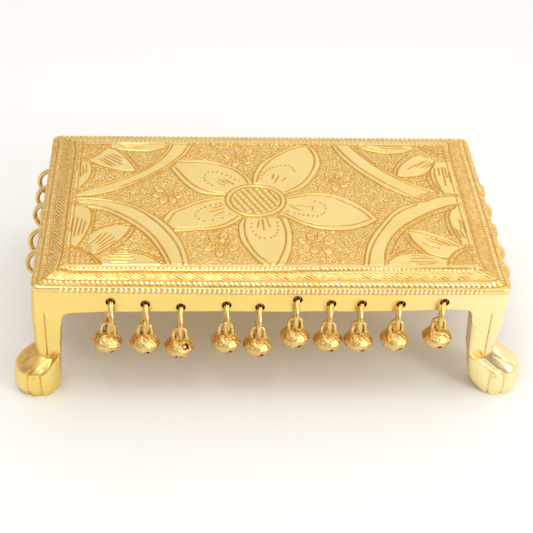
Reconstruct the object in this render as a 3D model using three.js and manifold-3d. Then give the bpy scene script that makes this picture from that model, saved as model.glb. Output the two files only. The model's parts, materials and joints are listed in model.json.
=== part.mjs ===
// A low brass table with a moulded top, four paw-footed legs and a row of hanging bells on each side.
// Millimetres, +Z up. The origin is on the floor under the middle of the table, +X along its length,
// and the front is at -Y.

import * as THREE from 'three';
import { mergeVertices } from 'three/addons/utils/BufferGeometryUtils.js';
import Module from 'manifold-3d';

const wasm = await Module();
wasm.setup();

// Table
const tableLength = 300;
const tableWidth = 177;
const tableHeight = 89.7;
const cutOverrun = 1;
const mergeTolerance = 1e-4;

// Top plate: a shell whose border slopes up from an upright rim to a flat panel
const plateCornerRadius = 8;
const plateRise = 9.3;
const borderAtEnds = 19;
const borderAtFront = 16;
const plateWall = 4;
const rimFaceHeight = 3.6;
const panelStep = 0.5;
const cornerSteps = 3;
const innerCornerShare = 0.25;
const plateSeatShare = 0.375;
// Across the border from the rim to the panel: three grooves, with a row of beads, a rope and a plain
// band between them as ridges
const borderGrooveDepth = 0.7;
const borderGrooveShares = [0.07, 0.36, 0.71];
const borderGrooveHalfShare = 0.035;
const borderRidgeHeight = 0.5;
const borderRidgeShares = [0.24, 0.53];

// Chased ornament: a flower with five petals and four curved bands stand proud of a punched ground, and
// a groove runs round the flower's disc. Places are shares of the panel's half length and half width.
const reliefHeight = 0.35;
const reliefRoot = 0.3;
const discSides = 14;
const discCentreShares = [-0.063, 0];
const discRadius = 19.8;
const discGrooveWidth = 1.8;
const discGrooveDepth = 0.5;
const petalShares = [
  [
    [-0.08, -0.14], [-0.153, -0.37], [-0.156, -0.56], [-0.12, -0.78], [-0.034, -1], [0.053, -1],
    [0.092, -0.83], [0.109, -0.55], [0.094, -0.28], [0.02, -0.1],
  ],
  [
    [0.03, 0], [0.099, 0.06], [0.252, 0.135], [0.336, 0.108], [0.412, 0.034], [0.519, -0.17], [0.553, -0.3],
    [0.48, -0.41], [0.328, -0.474], [0.244, -0.448], [0.107, -0.303], [0.03, -0.15],
  ],
  [
    [-0.06, 0.1], [-0.073, 0.3], [-0.053, 0.5], [0.023, 0.724], [0.137, 0.917], [0.241, 0.98],
    [0.295, 0.766], [0.275, 0.48], [0.198, 0.228], [0.03, 0.06],
  ],
  [
    [-0.09, 0.07], [-0.076, 0.276], [-0.122, 0.47], [-0.237, 0.637], [-0.344, 0.692], [-0.458, 0.69],
    [-0.501, 0.52], [-0.431, 0.276], [-0.344, 0.116], [-0.21, 0.083],
  ],
  [
    [-0.09, -0.08], [-0.221, 0.066], [-0.344, 0.006], [-0.5, -0.182], [-0.537, -0.303], [-0.481, -0.502],
    [-0.275, -0.46], [-0.137, -0.29],
  ],
];
const bandShares = [
  [
    [-1, 0.034], [-0.84, 0.018], [-0.695, -0.076], [-0.58, -0.241], [-0.481, -0.483], [-0.42, -0.793],
    [-0.398, -1], [-0.508, -1], [-0.569, -0.71], [-0.656, -0.455], [-0.767, -0.262], [-0.87, -0.152],
    [-1, -0.062],
  ],
  [
    [-0.382, 1], [-0.424, 0.779], [-0.511, 0.559], [-0.656, 0.314], [-0.817, 0.117], [-1, 0.05], [-1, 0.138],
    [-0.84, 0.269], [-0.672, 0.473], [-0.557, 0.738], [-0.508, 1],
  ],
  [
    [0.436, -1], [0.476, -0.683], [0.557, -0.392], [0.672, -0.11], [0.809, -0.011], [1, 0.086], [1, -0.055],
    [0.859, -0.204], [0.729, -0.378], [0.634, -0.593], [0.582, -0.834], [0.542, -1],
  ],
  [
    [0.367, 1], [0.417, 0.731], [0.504, 0.469], [0.615, 0.234], [0.763, 0.028], [0.931, 0.055], [0.9, 0.138],
    [0.802, 0.255], [0.686, 0.444], [0.569, 0.687], [0.484, 1],
  ],
];

// Aprons: four strips that carry the rings
const apronThickness = 3;
const apronDepth = 15.7;
const apronFilletRadius = 5;
const apronFilletSteps = 3;

// Legs
const legWidth = 20;
const legDepth = 13.5;
const legCornerRadius = 8;
const ankleWidth = 17;
const ankleDepth = 12.5;
const ankleInset = 0.8;

// Paw feet, which reach out past the corners of the top. The toes stand upright, and behind them the
// instep rises to the leg, higher on the outer side than in front.
const footReachX = 16;
const footReachY = 9.3;
const footHalfLength = 15.4;
const footHalfWidth = 12.8;
const toeHeight = 17.5;
const instepTopAtSide = 34;
const instepTopInFront = 25;
const toeEdgeAngles = [-38, 16, 58, 102, 132].map(THREE.MathUtils.degToRad);
const toeGrooveShare = 0.13;
const toeProfileShares = [1, 0.3, 0, 0.3];
const heelAngles = [141, 180, 221, 270].map(THREE.MathUtils.degToRad);
// From the leg to the toes: rise over the instep, and the swell from the leg to the foot's outline
const instepShares = [
  { rise: 1, swell: 0, toes: 0 },
  { rise: 0.68, swell: 0.36, toes: 0 },
  { rise: 0.34, swell: 0.73, toes: 0.4 },
  { rise: 0.06, swell: 0.94, toes: 0.9 },
];
// From the toes' tops to the floor: height, swell, and depth of the grooves between the toes
const toeLevelShares = [
  { height: 0.8, swell: 1, toes: 1 },
  { height: 0.4, swell: 1.01, toes: 1 },
  { height: 0.12, swell: 0.96, toes: 1 },
  { height: 0, swell: 0.88, toes: 1 },
];

// Rings: each hangs in a flared hole in an apron and goes round the apron's lower edge
const wireRadius = 1.4;
const ringDiameter = 17.4;
const ringSides = 12;
const wireSides = 5;
const seatGap = 0.3;
const joinDepth = 0.4;
const holeRadius = 2.3;
const holeFlare = 0.85;
const holeSides = 8;

// Bells: a ridged double dome, slit underneath, with a flat cast eye that hangs on the ring
const bellRadius = 9.3;
const bellHalfHeight = 7.5;
const bellSides = 9;
const bellProfileShares = [
  [0, -1],
  [0.54, -0.87],
  [0.92, -0.35],
  [1, 0.09],
  [0.86, 0.5],
  [0.42, 0.9],
  [0, 1],
];
const eyeWidth = 10.3;
const eyeStand = 7.5;
const eyeThickness = 2;
const eyeBar = 1.7;
const eyeOpeningHeight = 5;
const openingShares = [
  [-0.6, 0],
  [-1, 0.3],
  [-0.7, 1],
  [0.7, 1],
  [1, 0.3],
  [0.6, 0],
];
const eyeRoot = 2.6;
const eyeArcSteps = 3;
const slitWidth = 1.6;
const slitLength = 11;
const slitDepth = 3;

// Where the rings hang: along is a share of the row's half length from the middle, up is a share of
// the apron's depth from its lower edge, and size is a share of the ring's diameter
const frontRowShares = [
  { along: -0.676, up: 0.52, size: 1.18 },
  { along: -0.532, up: 0.4, size: 1.13 },
  { along: -0.384, up: 0.25, size: 1.13 },
  { along: -0.193, up: 0.36, size: 1.0 },
  { along: -0.053, up: 0.25, size: 1.05 },
  { along: 0.104, up: 0.64, size: 0.94 },
  { along: 0.247, up: 0.43, size: 1.0 },
  { along: 0.376, up: 0.42, size: 0.98 },
  { along: 0.541, up: 0.4, size: 0.86 },
  { along: 0.725, up: 0.5, size: 0.88 },
];
const leftRowShares = [
  { along: -0.667, up: 0.6, size: 1.1 },
  { along: -0.452, up: 0.56, size: 1.06 },
  { along: -0.237, up: 0.46, size: 1.12 },
  { along: 0.11, up: 0.5, size: 1.1 },
  { along: 0.367, up: 0.46, size: 1.06 },
];
const rightRowShares = [
  { along: -0.503, up: 0.46, size: 1.06 },
  { along: -0.287, up: 0.5, size: 1.12 },
  { along: 0.025, up: 0.44, size: 1.12 },
  { along: 0.269, up: 0.48, size: 1.1 },
  { along: 0.558, up: 0.46, size: 1.1 },
];

// Derived places
const halfLength = tableLength / 2;
const halfWidth = tableWidth / 2;
const rimZ = tableHeight - plateRise;
const apronBottomZ = rimZ - apronDepth;
const legInnerX = halfLength - legWidth;
const legInnerY = halfWidth - legDepth;
const panelHalfLength = halfLength - borderAtEnds;
const panelHalfWidth = halfWidth - borderAtFront;
const groundZ = tableHeight - reliefHeight;
const wireSeat = wireRadius * Math.cos(Math.PI / wireSides);
const holeSeat = holeRadius * Math.cos(Math.PI / holeSides);
const pivotDrop = holeSeat - wireSeat - seatGap;

// Materials
const polishedBrass = new THREE.MeshStandardMaterial({ color: 0xe0b45a, roughness: 0.25, metalness: 1 });
const chasedBrass = new THREE.MeshStandardMaterial({ color: 0xd8a548, roughness: 0.35, metalness: 1 });
const bellBrass = new THREE.MeshStandardMaterial({ color: 0xd9a23f, roughness: 0.3, metalness: 1 });
const wireBrass = new THREE.MeshStandardMaterial({ color: 0xc98f3c, roughness: 0.3, metalness: 1 });

// Turns a closed geometry into a solid that can be cut and joined
function toSolid(geometry) {
  const bare = geometry.clone();
  bare.deleteAttribute('normal');
  bare.deleteAttribute('uv');
  const merged = mergeVertices(bare, mergeTolerance);
  return new wasm.Manifold(
    new wasm.Mesh({
      numProp: 3,
      vertProperties: new Float32Array(merged.attributes.position.array),
      triVerts: new Uint32Array(merged.index.array),
    }),
  );
}

function toGeometry(solid) {
  const mesh = solid.getMesh();
  const geometry = new THREE.BufferGeometry();
  geometry.setAttribute('position', new THREE.BufferAttribute(mesh.vertProperties, 3));
  geometry.setIndex(new THREE.BufferAttribute(mesh.triVerts, 1));
  geometry.computeVertexNormals();
  return geometry;
}

// Skins a closed body over sections with the same number of points, each counter-clockwise seen from +Z
function loft(sections) {
  const count = sections[0].length;
  const positions = sections.flat().flatMap((p) => [p.x, p.y, p.z]);
  const index = [];
  for (let level = 0; level + 1 < sections.length; level++) {
    for (let i = 0; i < count; i++) {
      const next = (i + 1) % count;
      const low = level * count;
      const high = low + count;
      index.push(low + i, low + next, high + next, low + i, high + next, high + i);
    }
  }
  const capOf = (section) => {
    const outline = section.map((p) => new THREE.Vector2(p.x, p.y));
    return THREE.ShapeUtils.triangulateShape(outline, []);
  };
  for (const [a, b, c] of capOf(sections[0])) {
    index.push(a, c, b);
  }
  const top = (sections.length - 1) * count;
  for (const [a, b, c] of capOf(sections.at(-1))) {
    index.push(top + a, top + b, top + c);
  }
  const geometry = new THREE.BufferGeometry();
  geometry.setAttribute('position', new THREE.Float32BufferAttribute(positions, 3));
  geometry.setIndex(index);
  geometry.computeVertexNormals();
  return geometry;
}

// One rounded rectangle of the plate, at a share of the way from its outer edge to the panel
function plateSection(share, z) {
  const radius = plateCornerRadius * Math.max(1 - share, innerCornerShare);
  const reachX = halfLength - share * borderAtEnds - radius;
  const reachY = halfWidth - share * borderAtFront - radius;
  const points = [];
  const corners = [
    [1, 1],
    [-1, 1],
    [-1, -1],
    [1, -1],
  ];
  corners.forEach(([signX, signY], corner) => {
    for (let step = 0; step <= cornerSteps; step++) {
      const angle = ((corner + step / cornerSteps) * Math.PI) / 2;
      const x = signX * reachX + radius * Math.cos(angle);
      const y = signY * reachY + radius * Math.sin(angle);
      points.push(new THREE.Vector3(x, y, z));
    }
  });
  return points;
}

// The plate in one skin: from its underside, out round the rim and up over the border to the panel's ground
function plateBlank() {
  const rimTopZ = rimZ + rimFaceHeight;
  const panelFootZ = groundZ - panelStep;
  const slopeZ = (share) => THREE.MathUtils.lerp(rimTopZ, panelFootZ, share);
  const groove = (middle) => [
    plateSection(middle - borderGrooveHalfShare, slopeZ(middle - borderGrooveHalfShare)),
    plateSection(middle, slopeZ(middle) - borderGrooveDepth),
    plateSection(middle + borderGrooveHalfShare, slopeZ(middle + borderGrooveHalfShare)),
  ];
  const ridge = (middle) => plateSection(middle, slopeZ(middle) + borderRidgeHeight);
  return loft([
    plateSection(1, tableHeight - plateWall),
    plateSection(plateSeatShare, rimZ),
    plateSection(0, rimZ),
    plateSection(0, rimTopZ),
    ...groove(borderGrooveShares[0]),
    ridge(borderRidgeShares[0]),
    ...groove(borderGrooveShares[1]),
    ridge(borderRidgeShares[1]),
    ...groove(borderGrooveShares[2]),
    plateSection(1, panelFootZ),
    plateSection(1, groundZ),
  ]);
}

// A flat pad of the ornament, from just under the ground up to the panel's top
function reliefPad(shares) {
  const outline = shares.map(([x, y]) => new THREE.Vector2(x * panelHalfLength, y * panelHalfWidth));
  const depth = reliefHeight + reliefRoot;
  const pad = new THREE.ExtrudeGeometry(new THREE.Shape(outline), { depth, bevelEnabled: false });
  return pad.translate(0, 0, groundZ - reliefRoot);
}

function topPlateGeometry() {
  let solid = toSolid(plateBlank());
  for (const shares of [...petalShares, ...bandShares]) {
    solid = solid.add(toSolid(reliefPad(shares)));
  }
  const [discX, discY] = [discCentreShares[0] * panelHalfLength, discCentreShares[1] * panelHalfWidth];
  const disc = new THREE.CylinderGeometry(discRadius, discRadius, reliefHeight + reliefRoot, discSides);
  disc.rotateX(Math.PI / 2).translate(discX, discY, tableHeight - (reliefHeight + reliefRoot) / 2);
  const grooveProfile = [
    new THREE.Vector2(discRadius - discGrooveWidth, cutOverrun),
    new THREE.Vector2(discRadius - discGrooveWidth, 0),
    new THREE.Vector2(discRadius - discGrooveWidth / 2, -discGrooveDepth),
    new THREE.Vector2(discRadius, 0),
    new THREE.Vector2(discRadius, cutOverrun),
    new THREE.Vector2(discRadius - discGrooveWidth, cutOverrun),
  ];
  const groove = new THREE.LatheGeometry(grooveProfile, discSides);
  groove.rotateX(Math.PI / 2).translate(discX, discY, tableHeight);
  return toGeometry(solid.add(toSolid(disc)).subtract(toSolid(groove)));
}

// A flared hole, narrowest at the middle of the apron, as a body to cut away, with its axis along Y
// and a facet at the bottom for the wire to lie on
function holeCutter() {
  const halfReach = apronThickness / 2 + cutOverrun;
  const mouthRadius = holeRadius + (holeFlare * halfReach) / (apronThickness / 2);
  const profile = [
    new THREE.Vector2(0, -halfReach),
    new THREE.Vector2(mouthRadius, -halfReach),
    new THREE.Vector2(holeRadius, 0),
    new THREE.Vector2(mouthRadius, halfReach),
    new THREE.Vector2(0, halfReach),
  ];
  return new THREE.LatheGeometry(profile, holeSides, Math.PI / holeSides);
}

const holeZ = (place) => apronBottomZ + place.up * apronDepth;

// A strip between two legs, upright along X, with its lower corners filleted into the legs
function apronGeometry(innerHalf, places) {
  const shape = new THREE.Shape();
  const filletTopX = innerHalf - apronFilletRadius;
  const filletZ = apronBottomZ - apronFilletRadius;
  shape.moveTo(-innerHalf, rimZ);
  shape.lineTo(-innerHalf, filletZ);
  shape.absarc(-filletTopX, filletZ, apronFilletRadius, Math.PI, Math.PI / 2, true);
  shape.absarc(filletTopX, filletZ, apronFilletRadius, Math.PI / 2, 0, true);
  shape.lineTo(innerHalf, rimZ);
  const strip = new THREE.ExtrudeGeometry(shape, {
    depth: apronThickness,
    bevelEnabled: false,
    curveSegments: apronFilletSteps,
  });
  strip.rotateX(Math.PI / 2);
  strip.translate(0, apronThickness / 2, 0);
  let solid = toSolid(strip);
  for (const place of places) {
    const cutter = holeCutter().translate(place.x, 0, holeZ(place));
    solid = solid.subtract(toSolid(cutter));
  }
  return toGeometry(solid);
}

// A point of the leg's outline on the ray at an angle; the outer corner is round, the others are square
function legPoint(angle, width, depth, inset) {
  const halfX = width / 2;
  const halfY = depth / 2;
  const ray = new THREE.Vector2(Math.cos(angle), Math.sin(angle));
  let reach = Math.min(halfX / Math.abs(ray.x), halfY / Math.abs(ray.y));
  const radius = Math.min(legCornerRadius, halfX, halfY);
  const cornerCentre = new THREE.Vector2(halfX - radius, halfY - radius);
  if (ray.x * reach > cornerCentre.x && ray.y * reach > cornerCentre.y) {
    const along = ray.dot(cornerCentre);
    reach = along + Math.sqrt(along * along - cornerCentre.lengthSq() + radius * radius);
  }
  return new THREE.Vector2(halfLength - inset - halfX, halfWidth - inset - halfY).addScaledVector(ray, reach);
}

// The spokes that the leg's sections share: fine round the toes, and one at each square corner
function legSpokes() {
  const toes = [];
  toeEdgeAngles.slice(0, -1).forEach((start, toe) => {
    const end = toeEdgeAngles[toe + 1];
    toeProfileShares.forEach((groove, step) => {
      toes.push({ angle: THREE.MathUtils.lerp(start, end, step / toeProfileShares.length), groove });
    });
  });
  const square = (signX, signY, width, depth) => Math.atan2(signY * depth, signX * width);
  const corners = [square(1, -1, legWidth, legDepth), square(-1, 1, legWidth, legDepth)];
  const plain = [toeEdgeAngles.at(-1), ...heelAngles].map((angle) => ({ angle, groove: 0 }));
  toes[0].groove = 0;
  toes[0].angle = corners[0];
  plain[1].angle = corners[1];
  plain[3].angle = square(-1, -1, legWidth, legDepth) + 2 * Math.PI;
  return [...toes, ...plain];
}

// How high the instep meets the leg on the side of a spoke
function instepTop(angle) {
  const side = Math.max(0, Math.cos(angle)) ** 2;
  return THREE.MathUtils.lerp(instepTopInFront, instepTopAtSide, side);
}

// A leg of the corner at +X +Y: a square post that tapers to the ankle and spreads into a paw with toes
function legGeometry() {
  const spokes = legSpokes();
  const footCentre = new THREE.Vector2(
    halfLength + footReachX - footHalfLength,
    halfWidth + footReachY - footHalfWidth,
  );
  const footPoint = (spoke, toes) => {
    const size = 1 - toeGrooveShare * spoke.groove * toes;
    return new THREE.Vector2(
      footCentre.x + footHalfLength * size * Math.cos(spoke.angle),
      footCentre.y + footHalfWidth * size * Math.sin(spoke.angle),
    );
  };
  const postSection = (width, depth, z) =>
    spokes.map((spoke) => {
      const point = legPoint(spoke.angle, width, depth, 0);
      return new THREE.Vector3(point.x, point.y, z);
    });
  const footSection = (level, heightAt) =>
    spokes.map((spoke) => {
      const ankle = legPoint(spoke.angle, ankleWidth, ankleDepth, ankleInset);
      const point = ankle.lerp(footPoint(spoke, level.toes), level.swell);
      return new THREE.Vector3(point.x, point.y, heightAt(spoke.angle));
    });
  const instep = instepShares.map((level) =>
    footSection(level, (angle) => THREE.MathUtils.lerp(toeHeight, instepTop(angle), level.rise)),
  );
  const toes = toeLevelShares.map((level) => footSection(level, () => level.height * toeHeight));
  const foot = [...instep, ...toes].reverse();
  return loft([
    ...foot,
    postSection(legWidth, legDepth, apronBottomZ - apronFilletRadius),
    postSection(legWidth, legDepth, rimZ),
  ]);
}

const ringRadius = (place) => (ringDiameter * place.size) / 2;

// Heights in a bell's own frame, whose origin is the middle of its body
const eyeTopZ = bellHalfHeight + eyeStand;
const eyeSeatZ = eyeTopZ - eyeBar - seatGap - wireSeat;

// A ring of round wire upright in the YZ plane, centred on the origin
function ringGeometry(place) {
  const meanOfFacets = (1 + 1 / Math.cos(Math.PI / ringSides)) / 2;
  const ring = new THREE.TorusGeometry(ringRadius(place) * meanOfFacets, wireRadius, wireSides, ringSides);
  return ring.rotateY(Math.PI / 2);
}

// A bell centred on the origin, with its eye above it across the Y axis
function bellSolid() {
  const profile = bellProfileShares.map(([r, z]) => new THREE.Vector2(r * bellRadius, z * bellHalfHeight));
  const body = new THREE.LatheGeometry(profile, bellSides).rotateX(Math.PI / 2);
  const eyeShape = new THREE.Shape();
  const eyeArchZ = eyeTopZ - eyeWidth / 2;
  eyeShape.moveTo(-eyeWidth / 2, bellHalfHeight - eyeRoot);
  eyeShape.lineTo(eyeWidth / 2, bellHalfHeight - eyeRoot);
  eyeShape.absarc(0, eyeArchZ, eyeWidth / 2, 0, Math.PI, false);
  const openingX = eyeWidth / 2 - eyeBar;
  const openingZ = eyeTopZ - eyeBar - eyeOpeningHeight;
  const openingPoints = openingShares.map(
    ([x, z]) => new THREE.Vector2(x * openingX, openingZ + z * eyeOpeningHeight),
  );
  eyeShape.holes.push(new THREE.Path(openingPoints));
  const eye = new THREE.ExtrudeGeometry(eyeShape, {
    depth: eyeThickness,
    bevelEnabled: false,
    curveSegments: eyeArcSteps,
  });
  eye.translate(0, 0, -eyeThickness / 2).rotateX(Math.PI / 2);
  const slit = new THREE.BoxGeometry(slitLength, slitWidth, 2 * slitDepth);
  slit.translate(0, 0, -bellHalfHeight);
  return toSolid(body).add(toSolid(eye)).subtract(toSolid(slit));
}

const part = new THREE.Group();

function addMesh(parent, name, geometry, material) {
  const mesh = new THREE.Mesh(geometry, material);
  mesh.name = name;
  parent.add(mesh);
  return mesh;
}

addMesh(part, 'top_plate', topPlateGeometry(), chasedBrass);

const leg = legGeometry();
for (const [name, signX, signY] of [
  ['leg_front_left', -1, -1],
  ['leg_front_right', 1, -1],
  ['leg_back_left', -1, 1],
  ['leg_back_right', 1, 1],
]) {
  addMesh(part, name, leg, polishedBrass).scale.set(signX, signY, 1);
}

// The places of a row, moved apart where the bells would come too close to each other or to the legs
function placesWithRoom(rowShares, rowHalf, innerHalf) {
  const pitch = 2 * bellRadius + seatGap;
  const reach = innerHalf - pitch / 2;
  const count = Math.min(rowShares.length, Math.floor((2 * reach) / pitch) + 1);
  const places = rowShares.slice(0, count).map((place) => ({ ...place, x: place.along * rowHalf }));
  places.forEach((place, i) => {
    place.x = Math.max(place.x, i > 0 ? places[i - 1].x + pitch : -reach);
  });
  for (let i = count - 1; i >= 0; i--) {
    places[i].x = Math.min(places[i].x, i + 1 < count ? places[i + 1].x - pitch : reach);
  }
  return places;
}

// One side of the table in its own frame: the apron upright along X, with its outer face at -Y
function addSide(name, { outward, turn, innerHalf, rowHalf, rowShares, joined }) {
  const places = placesWithRoom(rowShares, rowHalf, innerHalf);
  const side = new THREE.Group();
  side.rotation.z = turn;
  part.add(side);
  const apronY = apronThickness / 2 - outward;
  const apron = addMesh(side, `apron_${name}`, apronGeometry(innerHalf, places), polishedBrass);
  apron.position.y = apronY;
  places.forEach((place, i) => {
    const hanger = new THREE.Group();
    const ringZ = holeZ(place) - pivotDrop - ringRadius(place);
    hanger.position.set(place.x, apronY, ringZ);
    side.add(hanger);
    const bellZ = -ringRadius(place) - eyeSeatZ;
    const ring = ringGeometry(place);
    const bell = bellSolid();
    if (joined) {
      const hung = bell.translate([0, 0, bellZ - seatGap - joinDepth]);
      addMesh(hanger, `ring_and_bell_${name}_${i + 1}`, toGeometry(toSolid(ring).add(hung)), bellBrass);
      return;
    }
    addMesh(hanger, `ring_${name}_${i + 1}`, ring, wireBrass);
    addMesh(hanger, `bell_${name}_${i + 1}`, toGeometry(bell), bellBrass).position.z = bellZ;
  });
}

const longSide = { outward: halfWidth, innerHalf: legInnerX, rowHalf: halfLength };
const shortSide = { outward: halfLength, innerHalf: legInnerY, rowHalf: halfWidth };
addSide('front', { ...longSide, turn: 0, rowShares: frontRowShares, joined: false });
addSide('back', { ...longSide, turn: Math.PI, rowShares: frontRowShares, joined: true });
addSide('left', { ...shortSide, turn: -Math.PI / 2, rowShares: leftRowShares, joined: false });
addSide('right', { ...shortSide, turn: Math.PI / 2, rowShares: rightRowShares, joined: false });

export default part;
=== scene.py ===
"""The looks of a low brass table with a chased top, paw feet and hanging bells.

Shapes are worked out in millimetres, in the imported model's own frame, and become metres in build_mesh.
"""

import json
import math

import bpy
import numpy as np
from mathutils import Matrix, Vector


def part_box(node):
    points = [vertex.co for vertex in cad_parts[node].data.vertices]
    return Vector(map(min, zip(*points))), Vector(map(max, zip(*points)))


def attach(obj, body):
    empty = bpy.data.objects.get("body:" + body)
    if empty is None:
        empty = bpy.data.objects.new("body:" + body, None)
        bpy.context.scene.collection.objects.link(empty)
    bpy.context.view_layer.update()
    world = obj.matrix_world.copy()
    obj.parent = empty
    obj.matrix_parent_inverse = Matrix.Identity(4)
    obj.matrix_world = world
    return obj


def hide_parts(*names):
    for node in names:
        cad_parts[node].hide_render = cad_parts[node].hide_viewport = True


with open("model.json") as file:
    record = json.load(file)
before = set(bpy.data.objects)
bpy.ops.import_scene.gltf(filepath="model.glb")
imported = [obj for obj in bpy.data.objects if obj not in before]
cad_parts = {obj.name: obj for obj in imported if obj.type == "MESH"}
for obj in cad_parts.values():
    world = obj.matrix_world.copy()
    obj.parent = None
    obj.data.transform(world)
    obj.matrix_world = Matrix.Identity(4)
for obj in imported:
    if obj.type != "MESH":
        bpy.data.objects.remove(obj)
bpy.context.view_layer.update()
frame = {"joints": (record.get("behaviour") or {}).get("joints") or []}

MM = 0.001
TABLE_BODY = "table"
NOISE_CELLS = 64


def node_box(name):
    """Lowest and highest corners of a solid, in mm."""
    low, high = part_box(name)
    return np.array(low) / MM, np.array(high) / MM


plate_low, plate_high = node_box("top_plate")
HALF_LENGTH = plate_high[0]
HALF_WIDTH = plate_high[1]
RIM_Z = plate_low[2]
TOP_Z = plate_high[2]

# Border of the top, from its outer edge to the panel
CORNER_RADIUS = 5
FRONT_BORDER = 16
SIDE_BORDER = 19
PANEL_STEP = 0.5
RIM_FACE_HEIGHT = 3.6
RIM_ROUND = 0.35
RIM_PROUD = 0.22
LIP = 1.4
BORDER_STEP = 0.38
ROW_STEP = 0.34
CORNER_COLUMNS = 12
LEAST_RADIUS = 0.5

# Panel relief. The ornament's points are measured from an origin a little in front of the middle.
ORNAMENT_ORIGIN = (0, -2)
PANEL_STEP_SIZE = 0.4
OUTLINE_WIDTH = 0.85
OUTLINE_DEPTH = 0.52
STROKE_WIDTH = 0.75
STROKE_DEPTH = 0.45
FINE_WIDTH = 0.6
FINE_DEPTH = 0.3
DOT_WIDTH = 0.85
DOT_DEPTH = 0.45
GROUND_DROP = 0.3
GROUND_DOT_WIDTH = 0.55
GROUND_DOT_DEPTH = 0.45
GROUND_DOT_SPACING = 1.12
GROUND_ROUGH = 0.14
SWAY = 0.16
EDGE_DROP = 0.4
FRAME_LINE_INSET = 2.6
FRAME_LINE_HALF = 0.75
SKIRT = 1.5
PANEL_NAMES = ("panel_left", "panel_middle", "panel_right")

joint_at = {joint["name"]: np.array(joint["pos_m"]) / MM for joint in frame["joints"]}


# Mesh helpers

def build_mesh(name, vertices, faces, patina_and_painted_light=None, normals=None, smooth=True):
    """A mesh from mm vertices. The patina_and_painted_light value is how stained each vertex is, with painted
    shade in places, or below zero how rubbed bright, with painted highlights.
    """
    mesh = bpy.data.meshes.new(name)
    corners = faces if isinstance(faces, list) else faces.tolist()
    mesh.from_pydata((np.asarray(vertices, float).reshape(-1, 3) * MM).tolist(), [], corners)
    if patina_and_painted_light is not None:
        layer = mesh.attributes.new("patina_and_painted_light", "FLOAT", "POINT")
        layer.data.foreach_set("value", np.asarray(patina_and_painted_light, np.float32).ravel())
    mesh.polygons.foreach_set("use_smooth", np.full(len(mesh.polygons), smooth))
    mesh.update()
    if normals is not None:
        mesh.normals_split_custom_set_from_vertices(normals.reshape(-1, 3).tolist())
    return mesh


def baked_mesh(holder):
    """The mesh that a curve, or an object with modifiers, comes to. The holder is removed."""
    bpy.context.scene.collection.objects.link(holder)
    bpy.context.view_layer.update()
    mesh = bpy.data.meshes.new_from_object(holder.evaluated_get(bpy.context.evaluated_depsgraph_get()))
    bpy.data.objects.remove(holder)
    return mesh


def add_piece(name, mesh, material, body, node=None, place=None):
    """Puts a mesh in the scene on a body, with its finish, and in the stead of a CAD node if one is given."""
    piece = bpy.data.objects.new(name, mesh)
    bpy.context.scene.collection.objects.link(piece)
    if not mesh.materials:
        mesh.materials.append(material)
    if place is not None:
        piece.matrix_world = place
    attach(piece, body)
    if node:
        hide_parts(node)
    return piece


def moved(offset):
    """A matrix that moves by an offset in mm."""
    return Matrix.Translation(Vector(np.asarray(offset) * MM))


def turned(degrees, axis):
    return Matrix.Rotation(math.radians(degrees), 4, axis)


def grid_faces(rows, columns, wrap=False, flip=False):
    """Quads between the points of a grid that is stored row by row."""
    last = columns if wrap else columns - 1
    row, column = np.meshgrid(np.arange(rows - 1), np.arange(last), indexing="ij")
    after = (column + 1) % columns
    quads = np.stack([
        row * columns + column,
        row * columns + after,
        (row + 1) * columns + after,
        (row + 1) * columns + column,
    ], -1).reshape(-1, 4)
    return quads[:, ::-1] if flip else quads


def full_turn(count):
    """Evenly spaced angles once round."""
    return np.linspace(0, 2 * math.pi, count, endpoint=False)


def smoothstep(low, high, value):
    """Zero up to low, one from high on, and a soft rise between them."""
    share = np.clip((value - low) / (high - low), 0, 1)
    return share * share * (3 - 2 * share)


def band(start, full, fade, end, value):
    """One from full to fade, zero outside start and end, and soft between."""
    return smoothstep(start, full, value) * (1 - smoothstep(fade, end, value))


def ridge(value, half):
    """One at zero, falling off to a third at half on either side."""
    return np.exp(-(value / half) ** 2)


def spline(points, spacing=0.2):
    """A smooth line through given points, as evenly spaced samples."""
    points = np.asarray(points, float)
    if len(points) == 2:
        count = max(2, int(np.linalg.norm(points[1] - points[0]) / spacing) + 1)
        share = np.linspace(0, 1, count)[:, None]
        return points[0] * (1 - share) + points[1] * share
    before = np.vstack([2 * points[0] - points[1], points[:-1]])
    after = np.vstack([points[1:], 2 * points[-1] - points[-2]])
    samples = []
    for i in range(len(points) - 1):
        p0, p1, p2, p3 = before[i], points[i], points[i + 1], after[i + 1]
        count = max(2, int(np.linalg.norm(p2 - p1) / spacing) + 1)
        t = np.linspace(0, 1, count, endpoint=False)[:, None]
        samples.append(0.5 * (2 * p1 + (p2 - p0) * t + (2 * p0 - 5 * p1 + 4 * p2 - p3) * t ** 2
                              + (3 * p1 - p0 - 3 * p2 + p3) * t ** 3))
    samples.append(points[-1:])
    return np.vstack(samples)


def lattice(seed, shape):
    """Random values from -1 to 1."""
    return np.random.default_rng(seed).uniform(-1, 1, shape)


def value_noise(x, y, size, seed):
    """Smooth noise from -1 to 1 over a plane, with features of a given size."""
    table = lattice(seed, (NOISE_CELLS, NOISE_CELLS))
    u, v = x / size, y / size
    i, j = np.floor(u).astype(int), np.floor(v).astype(int)
    a, b = smoothstep(0, 1, u - i), smoothstep(0, 1, v - j)

    def at(column, row):
        return table[column % NOISE_CELLS, row % NOISE_CELLS]

    low = at(i, j) * (1 - a) + at(i + 1, j) * a
    high = at(i, j + 1) * (1 - a) + at(i + 1, j + 1) * a
    return low * (1 - b) + high * b


# Materials

# Where a painted sheen turns the polished metal pale towards the right end, in metres along the table
PAINTED_SHEEN_FROM_TO = (0.07, 0.145)
# Pale colour of rubbed tops: partly wear, partly a painted highlight
RUBBED_HIGHLIGHT = (1.0, 0.94, 0.76)
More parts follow.
